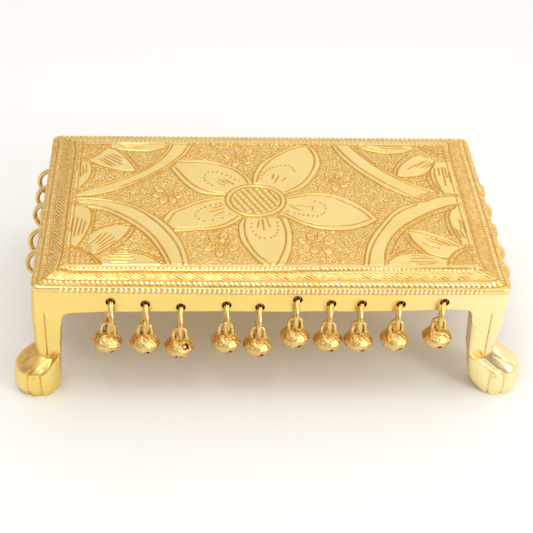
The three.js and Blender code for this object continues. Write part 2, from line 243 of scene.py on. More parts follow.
# What noise textures mostly give
USUAL_NOISE = (0.3, 0.7)
MIX_FACTOR, MIX_FIRST, MIX_SECOND, MIX_RESULT = 0, 6, 7, 2
GRAIN_HEIGHT = 0.0004
SCRATCH_HEIGHT = 0.0002
SCRATCH_SCALE = (60, 900, 900)
SCRATCH_TURN = (0, 0, 0.12)


def set_inputs(tree, node, inputs):
    """Gives a node's inputs plain values, or links them to the outputs of other nodes."""
    for key, value in inputs.items():
        if isinstance(value, bpy.types.NodeSocket):
            tree.links.new(value, node.inputs[key])
        else:
            node.inputs[key].default_value = value


def add_node(tree, kind, inputs, **settings):
    """The outputs of a new node."""
    node = tree.nodes.new(kind)
    for key, value in settings.items():
        setattr(node, key, value)
    set_inputs(tree, node, inputs)
    return node.outputs


def map_range(tree, source, low, high, out_low, out_high, interpolation="LINEAR"):
    inputs = {"Value": source, "From Min": low, "From Max": high, "To Min": out_low, "To Max": out_high}
    return add_node(tree, "ShaderNodeMapRange", inputs, interpolation_type=interpolation)["Result"]


def combine(tree, operation, first, second, third=0, clamp=False):
    inputs = {0: first, 1: second, 2: third}
    return add_node(tree, "ShaderNodeMath", inputs, operation=operation, use_clamp=clamp)["Value"]


def brass(name, color, dark, roughness, grain, bump, scratch=0.0, mottle=0.25, painted_sheen=None, fleck=0.0):
    """Polished brass: tone and roughness drift over the surface, and hollows keep a dark patina; the same
    value also carries painted shade in places.

    Where that value is below zero the metal is rubbed bright, partly wear and partly a painted highlight.
    Towards the right end a painted sheen takes it to the pale colour.
    """
    material = bpy.data.materials.new(name)
    material.use_nodes = True
    tree = material.node_tree
    place = add_node(tree, "ShaderNodeTexCoord", {})["Object"]

    def noise(scale, detail, rough=0.5, vector=place):
        inputs = {"Vector": vector, "Scale": scale, "Detail": detail, "Roughness": rough}
        return add_node(tree, "ShaderNodeTexNoise", inputs)["Fac"]

    def mix(factor, first, second):
        first = (*first, 1) if isinstance(first, tuple) else first
        inputs = {MIX_FACTOR: factor, MIX_FIRST: first, MIX_SECOND: (*second, 1)}
        return add_node(tree, "ShaderNodeMix", inputs, data_type="RGBA")[MIX_RESULT]

    darker = tuple(c * 0.86 if i < 2 else c * 0.62 for i, c in enumerate(color))
    tone = mix(map_range(tree, noise(38, 3), 0.35, 0.7, 0, mottle * 2), color, darker)
    # Painted sheen: the metal turns paler towards the right end of the table
    if painted_sheen is not None:
        along = add_node(tree, "ShaderNodeSeparateXYZ", {"Vector": place})["X"]
        tone = mix(map_range(tree, along, *PAINTED_SHEEN_FROM_TO, 0, 1), tone, painted_sheen)
    if fleck:
        tone = mix(map_range(tree, noise(1000, 2), 0.52, 0.62, 0, fleck), tone, dark)
    patina_and_painted_light = add_node(tree, "ShaderNodeAttribute", {}, attribute_name="patina_and_painted_light")["Fac"]
    patchy = map_range(tree, noise(240, 2), *USUAL_NOISE, 0.75, 1.1)
    stain = combine(tree, "MULTIPLY", patina_and_painted_light, patchy, clamp=True)
    tone = mix(combine(tree, "MULTIPLY", patina_and_painted_light, -1, clamp=True), tone, RUBBED_HIGHLIGHT)
    haze = map_range(tree, noise(150, 4, 0.6), *USUAL_NOISE, roughness - 0.06, roughness + 0.08)
    inputs = {"Strength": bump, "Distance": GRAIN_HEIGHT, "Height": noise(grain, 5, 0.62)}
    normal = add_node(tree, "ShaderNodeBump", inputs)["Normal"]
    if scratch:
        inputs = {"Vector": place, "Scale": SCRATCH_SCALE, "Rotation": SCRATCH_TURN}
        marks = noise(1, 3, vector=add_node(tree, "ShaderNodeMapping", inputs)["Vector"])
        inputs = {"Strength": scratch, "Distance": SCRATCH_HEIGHT, "Height": marks, "Normal": normal}
        normal = add_node(tree, "ShaderNodeBump", inputs)["Normal"]
    set_inputs(tree, tree.nodes["Principled BSDF"], {
        "Metallic": 1, "Base Color": mix(stain, tone, dark),
        "Roughness": combine(tree, "MULTIPLY_ADD", stain, 0.22, haze), "Normal": normal,
    })
    return material


chased_brass = brass("chased_brass", (0.95, 0.72, 0.3), (0.59, 0.25, 0.005), 0.27, 700, 0.22, mottle=0.22)
polished_brass = brass("polished_brass", (0.965, 0.725, 0.235), (0.6, 0.22, 0.05), 0.25, 260, 0.03,
                       scratch=0.03, mottle=0.16, painted_sheen=(0.99, 0.85, 0.46))
# Near-black brass for the bores of the apron holes and the rings in them: painted shade
hole_shade_brass = brass("hole_shade_brass", (0.15, 0.03, 0.02), (0.08, 0.01, 0.01), 0.7, 500, 0.3)
# Dim brass for the inward faces of the bells' eyes: painted shade
eye_shade_brass = brass("eye_shade_brass", (0.5, 0.33, 0.25), (0.3, 0.16, 0.1), 0.5, 500, 0.4)
wire_brass = brass("wire_brass", (0.95, 0.68, 0.3), (0.5, 0.18, 0.04), 0.24, 500, 0.3, mottle=0.5)
bell_brass = brass("bell_brass", (0.99, 0.79, 0.35), (0.62, 0.23, 0.01), 0.22, 900, 0.9, mottle=0.2,
                   fleck=0.65)
pellet_brass = brass("pellet_brass", (0.82, 0.62, 0.52), (0.4, 0.2, 0.14), 0.42, 500, 0.5, mottle=0.5)


# Border of the top: four strips that run along the sides and meet at mitres.
# A row's place is a share of the border's width, from the outer edge to the panel.

FRONT_ROWS = {"outer": 0.068, "beads_low": 0.22, "middle": 0.32, "rope_low": 0.36, "rope_high": 0.66,
              "inner": 0.70, "beads_high": 0.86}
SIDE_ROWS = {"outer": 0.178, "beads_low": 0.30, "middle": 0.42, "rope_low": 0.50, "rope_high": 0.84,
             "inner": 0.89, "beads_high": 0.96}
# Places along a side where the drift of a row is given, in shares of the border's width
DRIFTS_AT = {"beads_low": (-150, 0, 150), "beads_high": (-60, 60, 120, 150), "inner": (0, 110)}
NO_DRIFTS = {"beads_low": (0, 0, 0), "beads_high": (0, 0, 0, 0), "inner": (0, 0)}
MITRE_BLEND = 12
EDGE_BEAD_Z = RIM_Z + 1.8
EDGE_BEAD_HALF = 1.75
ROPE_HEIGHT = 0.5
ROPE_GROUND = 0.22
# Half the width and the depth of the grooves between the rows
GROOVES = {"outer": (0.7, 0.5), "middle": (0.55, 0.4), "inner": (1.2, 0.75)}
GROOVE_STAIN = 0.85
# How far the grooves wander, as a share of the border's width
GROOVE_WANDER = 0.008
SLOPE_START = 0.4
FACE_START = 0.15
# How far the rim's sag reaches up the slope, as a share of the border's width
SAG_REACH = 0.45
# How far from a point of a row its bead may stray, as a share of the pitch, and how much beads differ in size
BEAD_STRAY = 0.1
BEAD_UNLIKE = 0.16
BEAD_TABLE = 1024
# How far from the mitre the rows of beads end, the share of their height from which they are rubbed bright
# with a painted highlight, and the height up to which the metal round them is stained
BEADS_FADE = 3.0
BEAD_RUB_HIGHLIGHT_FROM = 0.45
BEAD_FOOT = 0.12
# Stain between the beads of the rim's face, and the plain moulding that goes on where they end
FACE_STAIN = 0.45
END_MOULDING = 0.45
END_MOULDING_HALF = 1.2
END_MOULDING_Z = EDGE_BEAD_Z + 0.5
ENDS_FADE = 5
# Half the length of the beads on the slope and on the rim's face, as a share of their pitch
BEAD_HALF = 0.42
EDGE_BEAD_LENGTH = 0.38

# The front of the rim sags by hand work: along the side from its left end, and how far down it sits
FRONT_DROP_AT = (-150, -20, 150)
FRONT_DROP = (0, 2, 2)
RIGHT_DROP_AT = (-88.5, -48)
RIGHT_DROP = (2, 0)


def beads(count, across, half_along, half_across, height, seed):
    """A row of domes: count runs up by one from bead to bead, across is measured from its middle line."""
    index = np.floor(count)
    random = lattice(seed, (BEAD_TABLE,))
    number = index.astype(int) % BEAD_TABLE
    offset = count - (index + 0.5 + BEAD_STRAY * random[number])
    size = 1 + BEAD_UNLIKE * random[(number * 7 + 3) % BEAD_TABLE]
    distance = (offset / half_along) ** 2 + (across / half_across) ** 2
    return height * size * np.sqrt(np.clip(1 - distance, 0, 1))


def beads_along(s, pitches):
    """Counts beads along a side whose pitch drifts: pitches are pairs of place and pitch."""
    at = np.array([place for place, pitch in pitches], float)
    rate = 1 / np.array([pitch for place, pitch in pitches], float)
    count = np.concatenate([[0], np.cumsum(np.diff(at) * (rate[:-1] + rate[1:]) / 2)])
    return np.interp(s, at, count)


def border_relief(s, t, width, half_row, style, seed):
    """Height over the sloping border at a place s along the side and a share t across it."""
    height = np.zeros_like(s)
    patina_and_painted_light = np.zeros_like(s)
    near = 1 - smoothstep(0, MITRE_BLEND, half_row - np.abs(s))
    own, other = style["rows"], style["other_rows"]
    row = {key: own[key] + (other[key] - own[key]) * 0.5 * near for key in own}
    for key, places in DRIFTS_AT.items():
        row[key] = row[key] + np.interp(s, places, style["drifts"][key]) * (1 - near)
    wander = GROOVE_WANDER * value_noise(s, t * 0, 9.0, seed)
    for key, (half, depth) in {**GROOVES, **style["grooves"]}.items():
        reach = np.clip(1 - ((t - row[key] + wander) * width / half) ** 2, 0, 1)
        height -= depth * reach
        patina_and_painted_light = np.maximum(patina_and_painted_light, GROOVE_STAIN * reach)
    fade = smoothstep(0, BEADS_FADE, half_row - np.abs(s))
    domes, rub, near_beads = 0, 0, False
    for number, key in enumerate(("low", "high"), 1):
        across = (t - row["beads_" + key]) * width
        half, peak = style[key + "_half"], style["bead_" + key]
        dome = beads(beads_along(s, style[key + "_pitches"]), across, BEAD_HALF, half, peak, seed + number)
        domes = domes + dome
        near_beads = near_beads | (np.abs(across) < half)
        rub = rub + np.clip(dome / peak - BEAD_RUB_HIGHLIGHT_FROM, 0, 1)
    height += fade * domes
    patina_and_painted_light = np.maximum(patina_and_painted_light, style["bead_stain"] * near_beads * (domes < BEAD_FOOT))
    rope_middle = (row["rope_low"] + row["rope_high"]) / 2
    rope_half = (row["rope_high"] - row["rope_low"]) / 2
    across = (t - rope_middle) / rope_half
    inside = np.clip(1 - across ** 2, 0, 1) ** 0.5
    slant = s + style["rope_lean"] * (t - rope_middle) * width
    slant = slant + 0.5 * value_noise(s, t * width, 5.0, seed + 5)
    slant = slant + 0.3 * value_noise(s, t * width, 2.1, seed + 12)
    wave = 0.5 + 0.5 * np.cos(2 * np.pi * slant / style["rope_pitch"])
    uneven = 0.75 + 0.45 * value_noise(s, t * width, 2.6, seed + 14)
    height += ROPE_HEIGHT * uneven * inside * wave ** 0.6 - ROPE_GROUND * (np.abs(across) < 1)
    patina_and_painted_light = np.maximum(patina_and_painted_light, uneven * (1 - wave) ** 1.2 * (np.abs(across) < 1))
    patina_and_painted_light = np.maximum(patina_and_painted_light, style["stain"] * (0.6 + 0.4 * value_noise(s, t * width, 1.6, seed + 6)))
    dots = value_noise(s, t * width, 0.9, seed + 8)
    height += style["stipple"] * dots * (np.abs(across) > 1)
    # Bead tops and rope crests go pale: partly rubbed wear, partly a painted highlight
    rub = rub * fade + 0.5 * np.clip(wave * uneven - 0.7, 0, 1) * (np.abs(across) < 0.8)
    patina_and_painted_light = np.where(rub > 0.05, -style["rub"] * np.clip(rub * 1.8, 0, 1), patina_and_painted_light)
    return height, patina_and_painted_light


def face_relief(s, z, half_along, style, seed):
    """Height and patina of the row of beads on the rim's face, along one level of it, with bead tops made
    pale by rubbed wear and a painted highlight.
    """
    first, last = style["edge_ends"]
    fade = smoothstep(first, first + ENDS_FADE, s + half_along)
    fade = fade * smoothstep(last, last + ENDS_FADE, half_along - s)
    count = beads_along(s, style["edge_pitches"])
    peak = style["edge_bead"]
    height = fade * beads(count, z - EDGE_BEAD_Z, EDGE_BEAD_LENGTH, EDGE_BEAD_HALF, peak, seed + 9)
    patina_and_painted_light = FACE_STAIN * fade * (height < 0.2 * peak) * (peak > 0.3)
    # The bead tops go pale: partly rubbed wear, partly a painted highlight
    patina_and_painted_light = patina_and_painted_light - style["rub"] * fade * np.clip(height / peak - 0.35, 0, 0.5) * 2
    moulding = max(0.0, 1 - ((z - END_MOULDING_Z) / END_MOULDING_HALF) ** 2)
    return height + (1 - fade) * END_MOULDING * moulding, patina_and_painted_light


def drop_at(drops, along):
    """How far a hand-worked edge strays along its length: drops are the places and the amounts there."""
    return np.interp(along, *drops) if drops else np.zeros_like(along)


def border_profile(t, border):
    """Inset and z of the border without its relief, from the rim's edge to the panel."""
    slope_low = RIM_Z + RIM_FACE_HEIGHT + SLOPE_START
    inset = t * (border - RIM_ROUND) + RIM_ROUND
    z = slope_low + t * (TOP_Z - PANEL_STEP - slope_low)
    return inset, z


def border_strip(name, along, out, half_along, half_out, border, end_border, style, seed):
    """One side of the border; along and out are its unit directions."""
    face = np.arange(RIM_Z + FACE_START, RIM_Z + RIM_FACE_HEIGHT, ROW_STEP * 0.8)
    slope_rows = int(border * 1.03 / ROW_STEP)
    rows = [("lip", None, 0.0)]
    rows += [("face", z, 0.0) for z in face]
    rows += [("slope", None, share) for share in np.linspace(0, 1, slope_rows)]
    rows += [("under", None, 1.0)]
    straight = int(2 * half_along / BORDER_STEP)
    tilt = math.atan2(TOP_Z - PANEL_STEP - RIM_Z - RIM_FACE_HEIGHT, border)
    points, marks = [], []
    for kind, z, t in rows:
        radius = max(CORNER_RADIUS * (1 - 1.15 * t), LEAST_RADIUS)
        inset, slope_z = border_profile(t, border)
        end = border_profile(t, end_border)[0]
        if kind in ("face", "lip"):
            inset, end = -RIM_PROUD, -RIM_PROUD
        if kind in ("lip", "under"):
            inset, end = inset + LIP, end + LIP
        if kind == "lip":
            radius = CORNER_RADIUS - LIP
        low_end = -half_along + end + radius
        high_end = half_along - end - radius
        turn = np.linspace(0, math.pi / 4, CORNER_COLUMNS, endpoint=False)
        angle = np.concatenate([
            3 * math.pi / 4 - turn,
            np.full(straight, math.pi / 2),
            math.pi / 2 - (math.pi / 4 - turn)[::-1],
        ])
        centre = np.concatenate([
            np.full(CORNER_COLUMNS, low_end),
            np.linspace(low_end, high_end, straight),
            np.full(CORNER_COLUMNS, high_end),
        ])
        a = centre + radius * np.cos(angle)
        o = half_out - inset - radius + radius * np.sin(angle)
        s = centre + radius * (math.pi / 2 - angle)
        drop = drop_at(style["drop"], s)
        if kind == "slope":
            h, p = border_relief(s, np.full_like(s, t), border, high_end + radius * 0.7, style, seed)
            push, lift = h * math.sin(tilt), h * math.cos(tilt)
            z_row = slope_z - drop * 0.8 * max(0.0, 1 - t / SAG_REACH)
        elif kind == "face":
            h, p = face_relief(s, z, half_along, style, seed)
            push, lift = h, 0.2 * h
            z_row = z - drop * (1 - 0.2 * (z - RIM_Z) / RIM_FACE_HEIGHT)
        else:
            p = np.ones_like(s) * 0.5
            z_row = RIM_Z - drop if kind == "lip" else TOP_Z - PANEL_STEP + 0 * s
            push, lift = 0 * s, 0 * s
        a = a + push * np.cos(angle)
        o = o + push * np.sin(angle)
        points.append(a[:, None] * along + o[:, None] * out + (z_row + lift)[:, None] * np.array([0, 0, 1]))
        marks.append(p)
    points = np.array(points)
    mesh = build_mesh(name, points, grid_faces(*points.shape[:2], flip=True), patina_and_painted_light=np.array(marks))
    add_piece(name, mesh, chased_brass, TABLE_BODY, "top_plate")


X_AXIS, Y_AXIS = np.array([1.0, 0, 0]), np.array([0, 1.0, 0])
front_style = {
    "rows": FRONT_ROWS, "other_rows": SIDE_ROWS, "drop": (FRONT_DROP_AT, FRONT_DROP),
    "drifts": {"beads_low": (0, -0.04, -0.08), "beads_high": (0, 0, -0.09, -0.11), "inner": (0, 0.2)},
    "grooves": {"inner": (0.8, 0.75)},
    "low_pitches": ((-150, 3.3), (150, 3.3)), "high_pitches": ((-150, 3.0), (150, 2.8)),
    "edge_pitches": ((-150, 3.4), (-60, 3.3), (0, 2.8), (60, 2.8), (150, 3.0)),
    "low_half": 1.35, "high_half": 1.1, "bead_low": 0.62, "bead_high": 0.5, "rope_lean": 1.6,
    "rope_pitch": 3.3, "edge_bead": 0.95, "edge_ends": (14, 15), "stipple": 0.05, "bead_stain": 0.7,
    "stain": 0.2, "rub": 0.75,
}
side_style = {
    "rows": SIDE_ROWS, "other_rows": FRONT_ROWS, "drop": None,
    "drifts": NO_DRIFTS, "grooves": {},
    "low_pitches": ((-90, 2.6), (90, 2.6)), "high_pitches": ((-90, 2.1), (90, 2.1)),
    "edge_pitches": ((-90, 2.6), (90, 2.6)),
    "low_half": 1.2, "high_half": 0.9, "bead_low": 0.28, "bead_high": 0.3, "rope_lean": -1.5,
    "rope_pitch": 2.9, "edge_bead": 0.45, "edge_ends": (14, 14), "stipple": 0.14, "bead_stain": 0.8,
    "stain": 0.68, "rub": 0.35,
}
right_style = {**side_style, "drop": (RIGHT_DROP_AT, RIGHT_DROP)}
left_style = {**side_style, "edge_bead": 0.14, "bead_low": 0.2, "bead_high": 0.16, "rope_pitch": 3.5,
              "stain": 0.75}
back_style = {**front_style, "drop": None, "edge_bead": 0.6,
              "drifts": {**NO_DRIFTS, "beads_low": front_style["drifts"]["beads_low"]}}


def make_border():
    long_side = (HALF_LENGTH, HALF_WIDTH, FRONT_BORDER, SIDE_BORDER)
    short_side = (HALF_WIDTH, HALF_LENGTH, SIDE_BORDER, FRONT_BORDER)
    border_strip("border_front", X_AXIS, -Y_AXIS, *long_side, front_style, 11)
    border_strip("border_right", Y_AXIS, X_AXIS, *short_side, right_style, 23)
    border_strip("border_back", -X_AXIS, Y_AXIS, *long_side, back_style, 37)
    border_strip("border_left", -Y_AXIS, -X_AXIS, *short_side, left_style, 51)


# Panel: points of the ornament are mm on the top from its origin, with x to the right and y to the back

FRONT_PETAL = {
    "outer": [[(-17, -18.5), (-20, -25), (-20.7, -34), (-19.6, -44), (-15.5, -54.5), (-10.5, -64),
              (-5.5, -70.6)],
              [(12.3, -19), (13.8, -29), (14.3, -38), (13.6, -48), (12, -57), (9.8, -65), (7.5, -70.6)]],
    "inner": [[(-15.8, -19), (-16.8, -28), (-16.4, -38), (-14, -48.5), (-9.5, -59), (-5, -65), (-1, -70)],
              [(6.2, -15.5), (8.5, -23), (9.9, -32), (9.9, -41), (8.8, -50), (6, -60), (2.2, -70.4)]],
    "dots": [(4.9, -24), (4.8, -28), (4.9, -32.5), (4, -36), (2.5, -39), (0.3, -41), (-4, -41.6),
             (-7.2, -41.2),
             (-9.6, -38), (-11.6, -34), (-12.2, -29.5), (-12, -25)],
    "strokes": [[(-6.9, -21), (-8, -30)], [(-4.7, -20), (-4, -33)], [(-2, -19), (0, -29.5)]],
}
RIGHT_PETAL = {
    "outer": [[(13, 6.5), (22, 9.6), (33, 11.8), (44, 9.8), (54, 4.5), (62, -3.5), (68, -11.5), (72.5, -20)],
              [(7.5, -14.5), (14, -20), (22, -26), (32, -30.5), (43, -32.4), (54, -31.5), (63, -27.5),
               (72.2, -20.3)]],
    "inner": [[(14, 4), (22, 6.6), (33, 8), (44, 5.2), (52, -0.5), (59, -6.5), (64, -13), (68, -19.6)],
              [(9, -11.2), (15, -17), (23, -23), (33, -26.9), (44, -27.7), (54, -26.6), (61, -23.5),
               (67.6, -19.6)]],
    "dots": [(13, -10.5), (17, -13), (20, -14), (23, -15), (26, -15.6), (29, -16.2), (32, -16.5), (35, -14.8),
             (36.8, -12.8), (38, -8), (37.4, -4), (35, -1), (31.5, 0.5)],
    "strokes": [[(14, -4), (21, -10)], [(16, -3.2), (28, -5.5)], [(29.4, -5), (29.4, -10)]],
}
BACK_RIGHT_PETAL = {
    "outer": [[(-9.5, 24), (-9, 31), (-7, 38.5), (-3.5, 47), (3, 54.5), (10, 61.5), (18, 68.5), (25, 72),
               (31.5, 73)],
              [(11, 9.5), (19, 13), (26, 18.5), (31.5, 27), (36, 37), (39, 47.5), (38.6, 57.5), (36.4, 66),
               (31.7, 73)]],
    "inner": [[(-6.8, 24), (-5.5, 31), (-2.8, 39), (1.5, 47.5), (8, 56), (16, 63.5), (23, 68), (30.6, 70.4)],
              [(12, 12), (19, 17), (25.5, 24.5), (30.5, 34), (34, 44), (35.2, 54), (33.9, 62.5), (31, 70.2)]],
    "dots": [(-4, 28.5), (-2.5, 32), (-1, 35.5), (0.8, 38.5), (3, 40.8), (5.2, 42.4), (7.8, 43.8),
             (10.7, 44.7), (13.7, 45), (16.2, 44.4), (18, 42.5), (19.4, 40.2), (20.2, 37.6)],
    "strokes": [[(5.5, 34), (4, 27)], [(9, 32), (5.5, 23)], [(14, 29.5), (10.5, 25)]],
}
BACK_LEFT_PETAL = {
    "outer": [[(-9, 22), (-11.2, 28.5), (-16, 36), (-22.5, 43), (-31, 48.2), (-41, 51.8), (-51, 52.4),
               (-59.5, 52)],
              [(-27.5, 8), (-36, 8.4), (-45, 10.4), (-51, 14.8), (-56.5, 22), (-61, 30.5), (-65.6, 39.8)]],
    "inner": [[(-12.6, 22), (-15.5, 30), (-21, 37.5), (-28, 43), (-36, 46.5), (-45, 48), (-53, 48.3),
               (-60.5, 47.5)],
              [(-28, 10.4), (-35, 10.9), (-42, 13.8), (-49, 19), (-54.5, 26.5), (-59, 35), (-62.8, 42.5)]],
    "dots": [(-40, 35.5), (-42, 32.5), (-42.7, 29), (-42, 25.5), (-40, 22), (-37, 36.4), (-33.8, 36),
             (-30.5, 34), (-27.4, 32), (-24.5, 29.6), (-21.6, 27), (-19, 25), (-37.5, 19.5)],
    "strokes": [[(-29, 27.4), (-22, 20.5)], [(-33, 27), (-26.5, 21.5)], [(-33.6, 23), (-28.6, 19.4)]],
}
FRONT_LEFT_PETAL = {
    "outer": [[(-29, 6.8), (-37, 5.6), (-45, 2.4), (-52, -1.8), (-59, -6.6), (-65.5, -11.2), (-70.3, -20)],
              [(-18, -19), (-23.5, -25), (-29, -29), (-36, -31.4), (-46, -32.6), (-56, -34), (-63, -34.4)]],
    "inner": [[(-29, 4), (-36.5, 2.6), (-44, -0.8), (-51, -5), (-57, -8.8), (-62.5, -13.5), (-67, -25)],
              [(-20.5, -16.5), (-25, -21.8), (-30.5, -26.4), (-36.5, -28.8), (-46, -30.2), (-56, -31.2),
               (-63.5, -31)]],
    "dots": [(-32, -1.8), (-35, -3), (-38.8, -4.6), (-42, -6.5), (-45, -8.2), (-47, -10.8), (-48.8, -13.5),
             (-48.8, -17), (-46.6, -20), (-42.8, -22.2), (-37.5, -21.4), (-31, -18.8), (-26, -14.6)],
    "strokes": [[(-30, -4), (-37, -8)], [(-30, -8), (-39, -12)], [(-29.5, -11.5), (-36, -16)]],
}
PETALS = (FRONT_PETAL, RIGHT_PETAL, BACK_RIGHT_PETAL, BACK_LEFT_PETAL, FRONT_LEFT_PETAL)

DISC_CENTRE = (-8.2, 2)
DISC_RADII = (20.4, 19.2)
DISC_INNER_RADII = (17.0, 16.0)
DISC_HATCH_SPACING = 4.2
DISC_HATCH_ANGLES = (math.radians(-63), math.radians(27))

# Each band is drawn by two pairs of lines, the pair towards the middle of the table first
FRONT_LEFT_BAND = [
    [(-131, 4.5), (-120, 5), (-110, 3.3), (-100, 0.3), (-91, -3.5), (-83.5, -8.5), (-76, -15.5), (-69.5, -23),
     (-63, -33), (-58.2, -44), (-55, -55.5), (-52.4, -70.6)],
    [(-131, 1.5), (-119, 1.8), (-108, 0.2), (-98.5, -2.8), (-91, -6.6), (-86, -10.5), (-80, -16.5),
     (-72.5, -26), (-66, -37), (-61, -48), (-58, -59), (-56.2, -70.6)],
    [(-131, -1.6), (-121, -3), (-112, -5.6), (-104, -10), (-96, -16), (-88.5, -22.8), (-81.5, -31),
     (-75.5, -40), (-71, -49.5), (-67, -60), (-63.8, -70.6)],
    [(-122, -6.8), (-114, -9), (-107, -12), (-100.5, -17), (-93.5, -23.2), (-86, -31), (-79.5, -40),
     (-74.5, -49.5), (-70.6, -59), (-67, -69)],
]
BACK_LEFT_BAND = [
    [(-50.5, 73.4), (-52.5, 66), (-55.5, 58.5), (-60.5, 51), (-67, 42.5), (-75.5, 34), (-86, 24.8),
     (-97, 15.8), (-107, 10.5), (-118, 7), (-131, 5.5)],
    [(-52.8, 73.4), (-55.2, 66), (-58.6, 58), (-63.8, 50.2), (-70.5, 41.8), (-78.5, 33.5), (-88.5, 25.3),
     (-99, 17.5)],
    [(-64.2, 73.4), (-66.5, 64.5), (-70.5, 55.5), (-77, 45.3), (-85.5, 36), (-95.5, 27.7), (-107, 20.5),
     (-118, 15.4), (-131, 12)],
    [(-66.8, 73.4), (-69, 64.5), (-73, 55.5), (-79.5, 45), (-88, 36.3), (-98, 28.6), (-110, 21.5)],
]
FRONT_RIGHT_BAND = [
    [(57.6, -70.6), (59.2, -60), (62.3, -47.5), (67, -36.5), (73, -26.4), (80, -15), (88, -6), (98, -1.2),
     (106, 1.2), (113, 4.8), (121, 7.2), (131, 8.2)],
    [(60.6, -70.6), (62.4, -59.5), (66, -47.5), (71, -37), (77.5, -25), (84, -15.3), (92, -7.8), (101, -2.4)],
    [(131, -0.2), (120, -4.4), (112.5, -8.2), (104.5, -13.2), (97, -19.4), (90, -25.6), (83.5, -32.6),
     (78.6, -40.5), (75, -49), (72.4, -59), (71, -70.6)],
    [(126, -6.6), (112.5, -12.8), (103, -19), (95.5, -25.4), (88.5, -32.4), (83, -41), (79, -50),
     (76.2, -58.5)],
]
BACK_RIGHT_BAND = [
    [(48.5, 72.5), (50.5, 64.6), (54.6, 55), (60, 45), (66, 36), (72.5, 27.8), (80.5, 19), (89.5, 11.6),
     (97, 6.2)],
    [(50.6, 73.4), (53.4, 66), (57.2, 58), (62.5, 48), (69, 38.2), (76.6, 29.2), (84.5, 20.6), (93.5, 12.6),
     (104, 4.6)],
    [(60.5, 73.4), (65, 64.6), (71, 54), (77, 45), (84, 36.4), (91.5, 28.6), (99.5, 21.4), (108, 15.5),
     (118, 11)],
    [(63.4, 73.4), (68.2, 63), (74.5, 51.8), (82, 42.2), (89.8, 34.2), (97, 26.6), (105, 20.5), (114, 15.6)],
]
BANDS = (FRONT_LEFT_BAND, BACK_LEFT_BAND, FRONT_RIGHT_BAND, BACK_RIGHT_BAND)

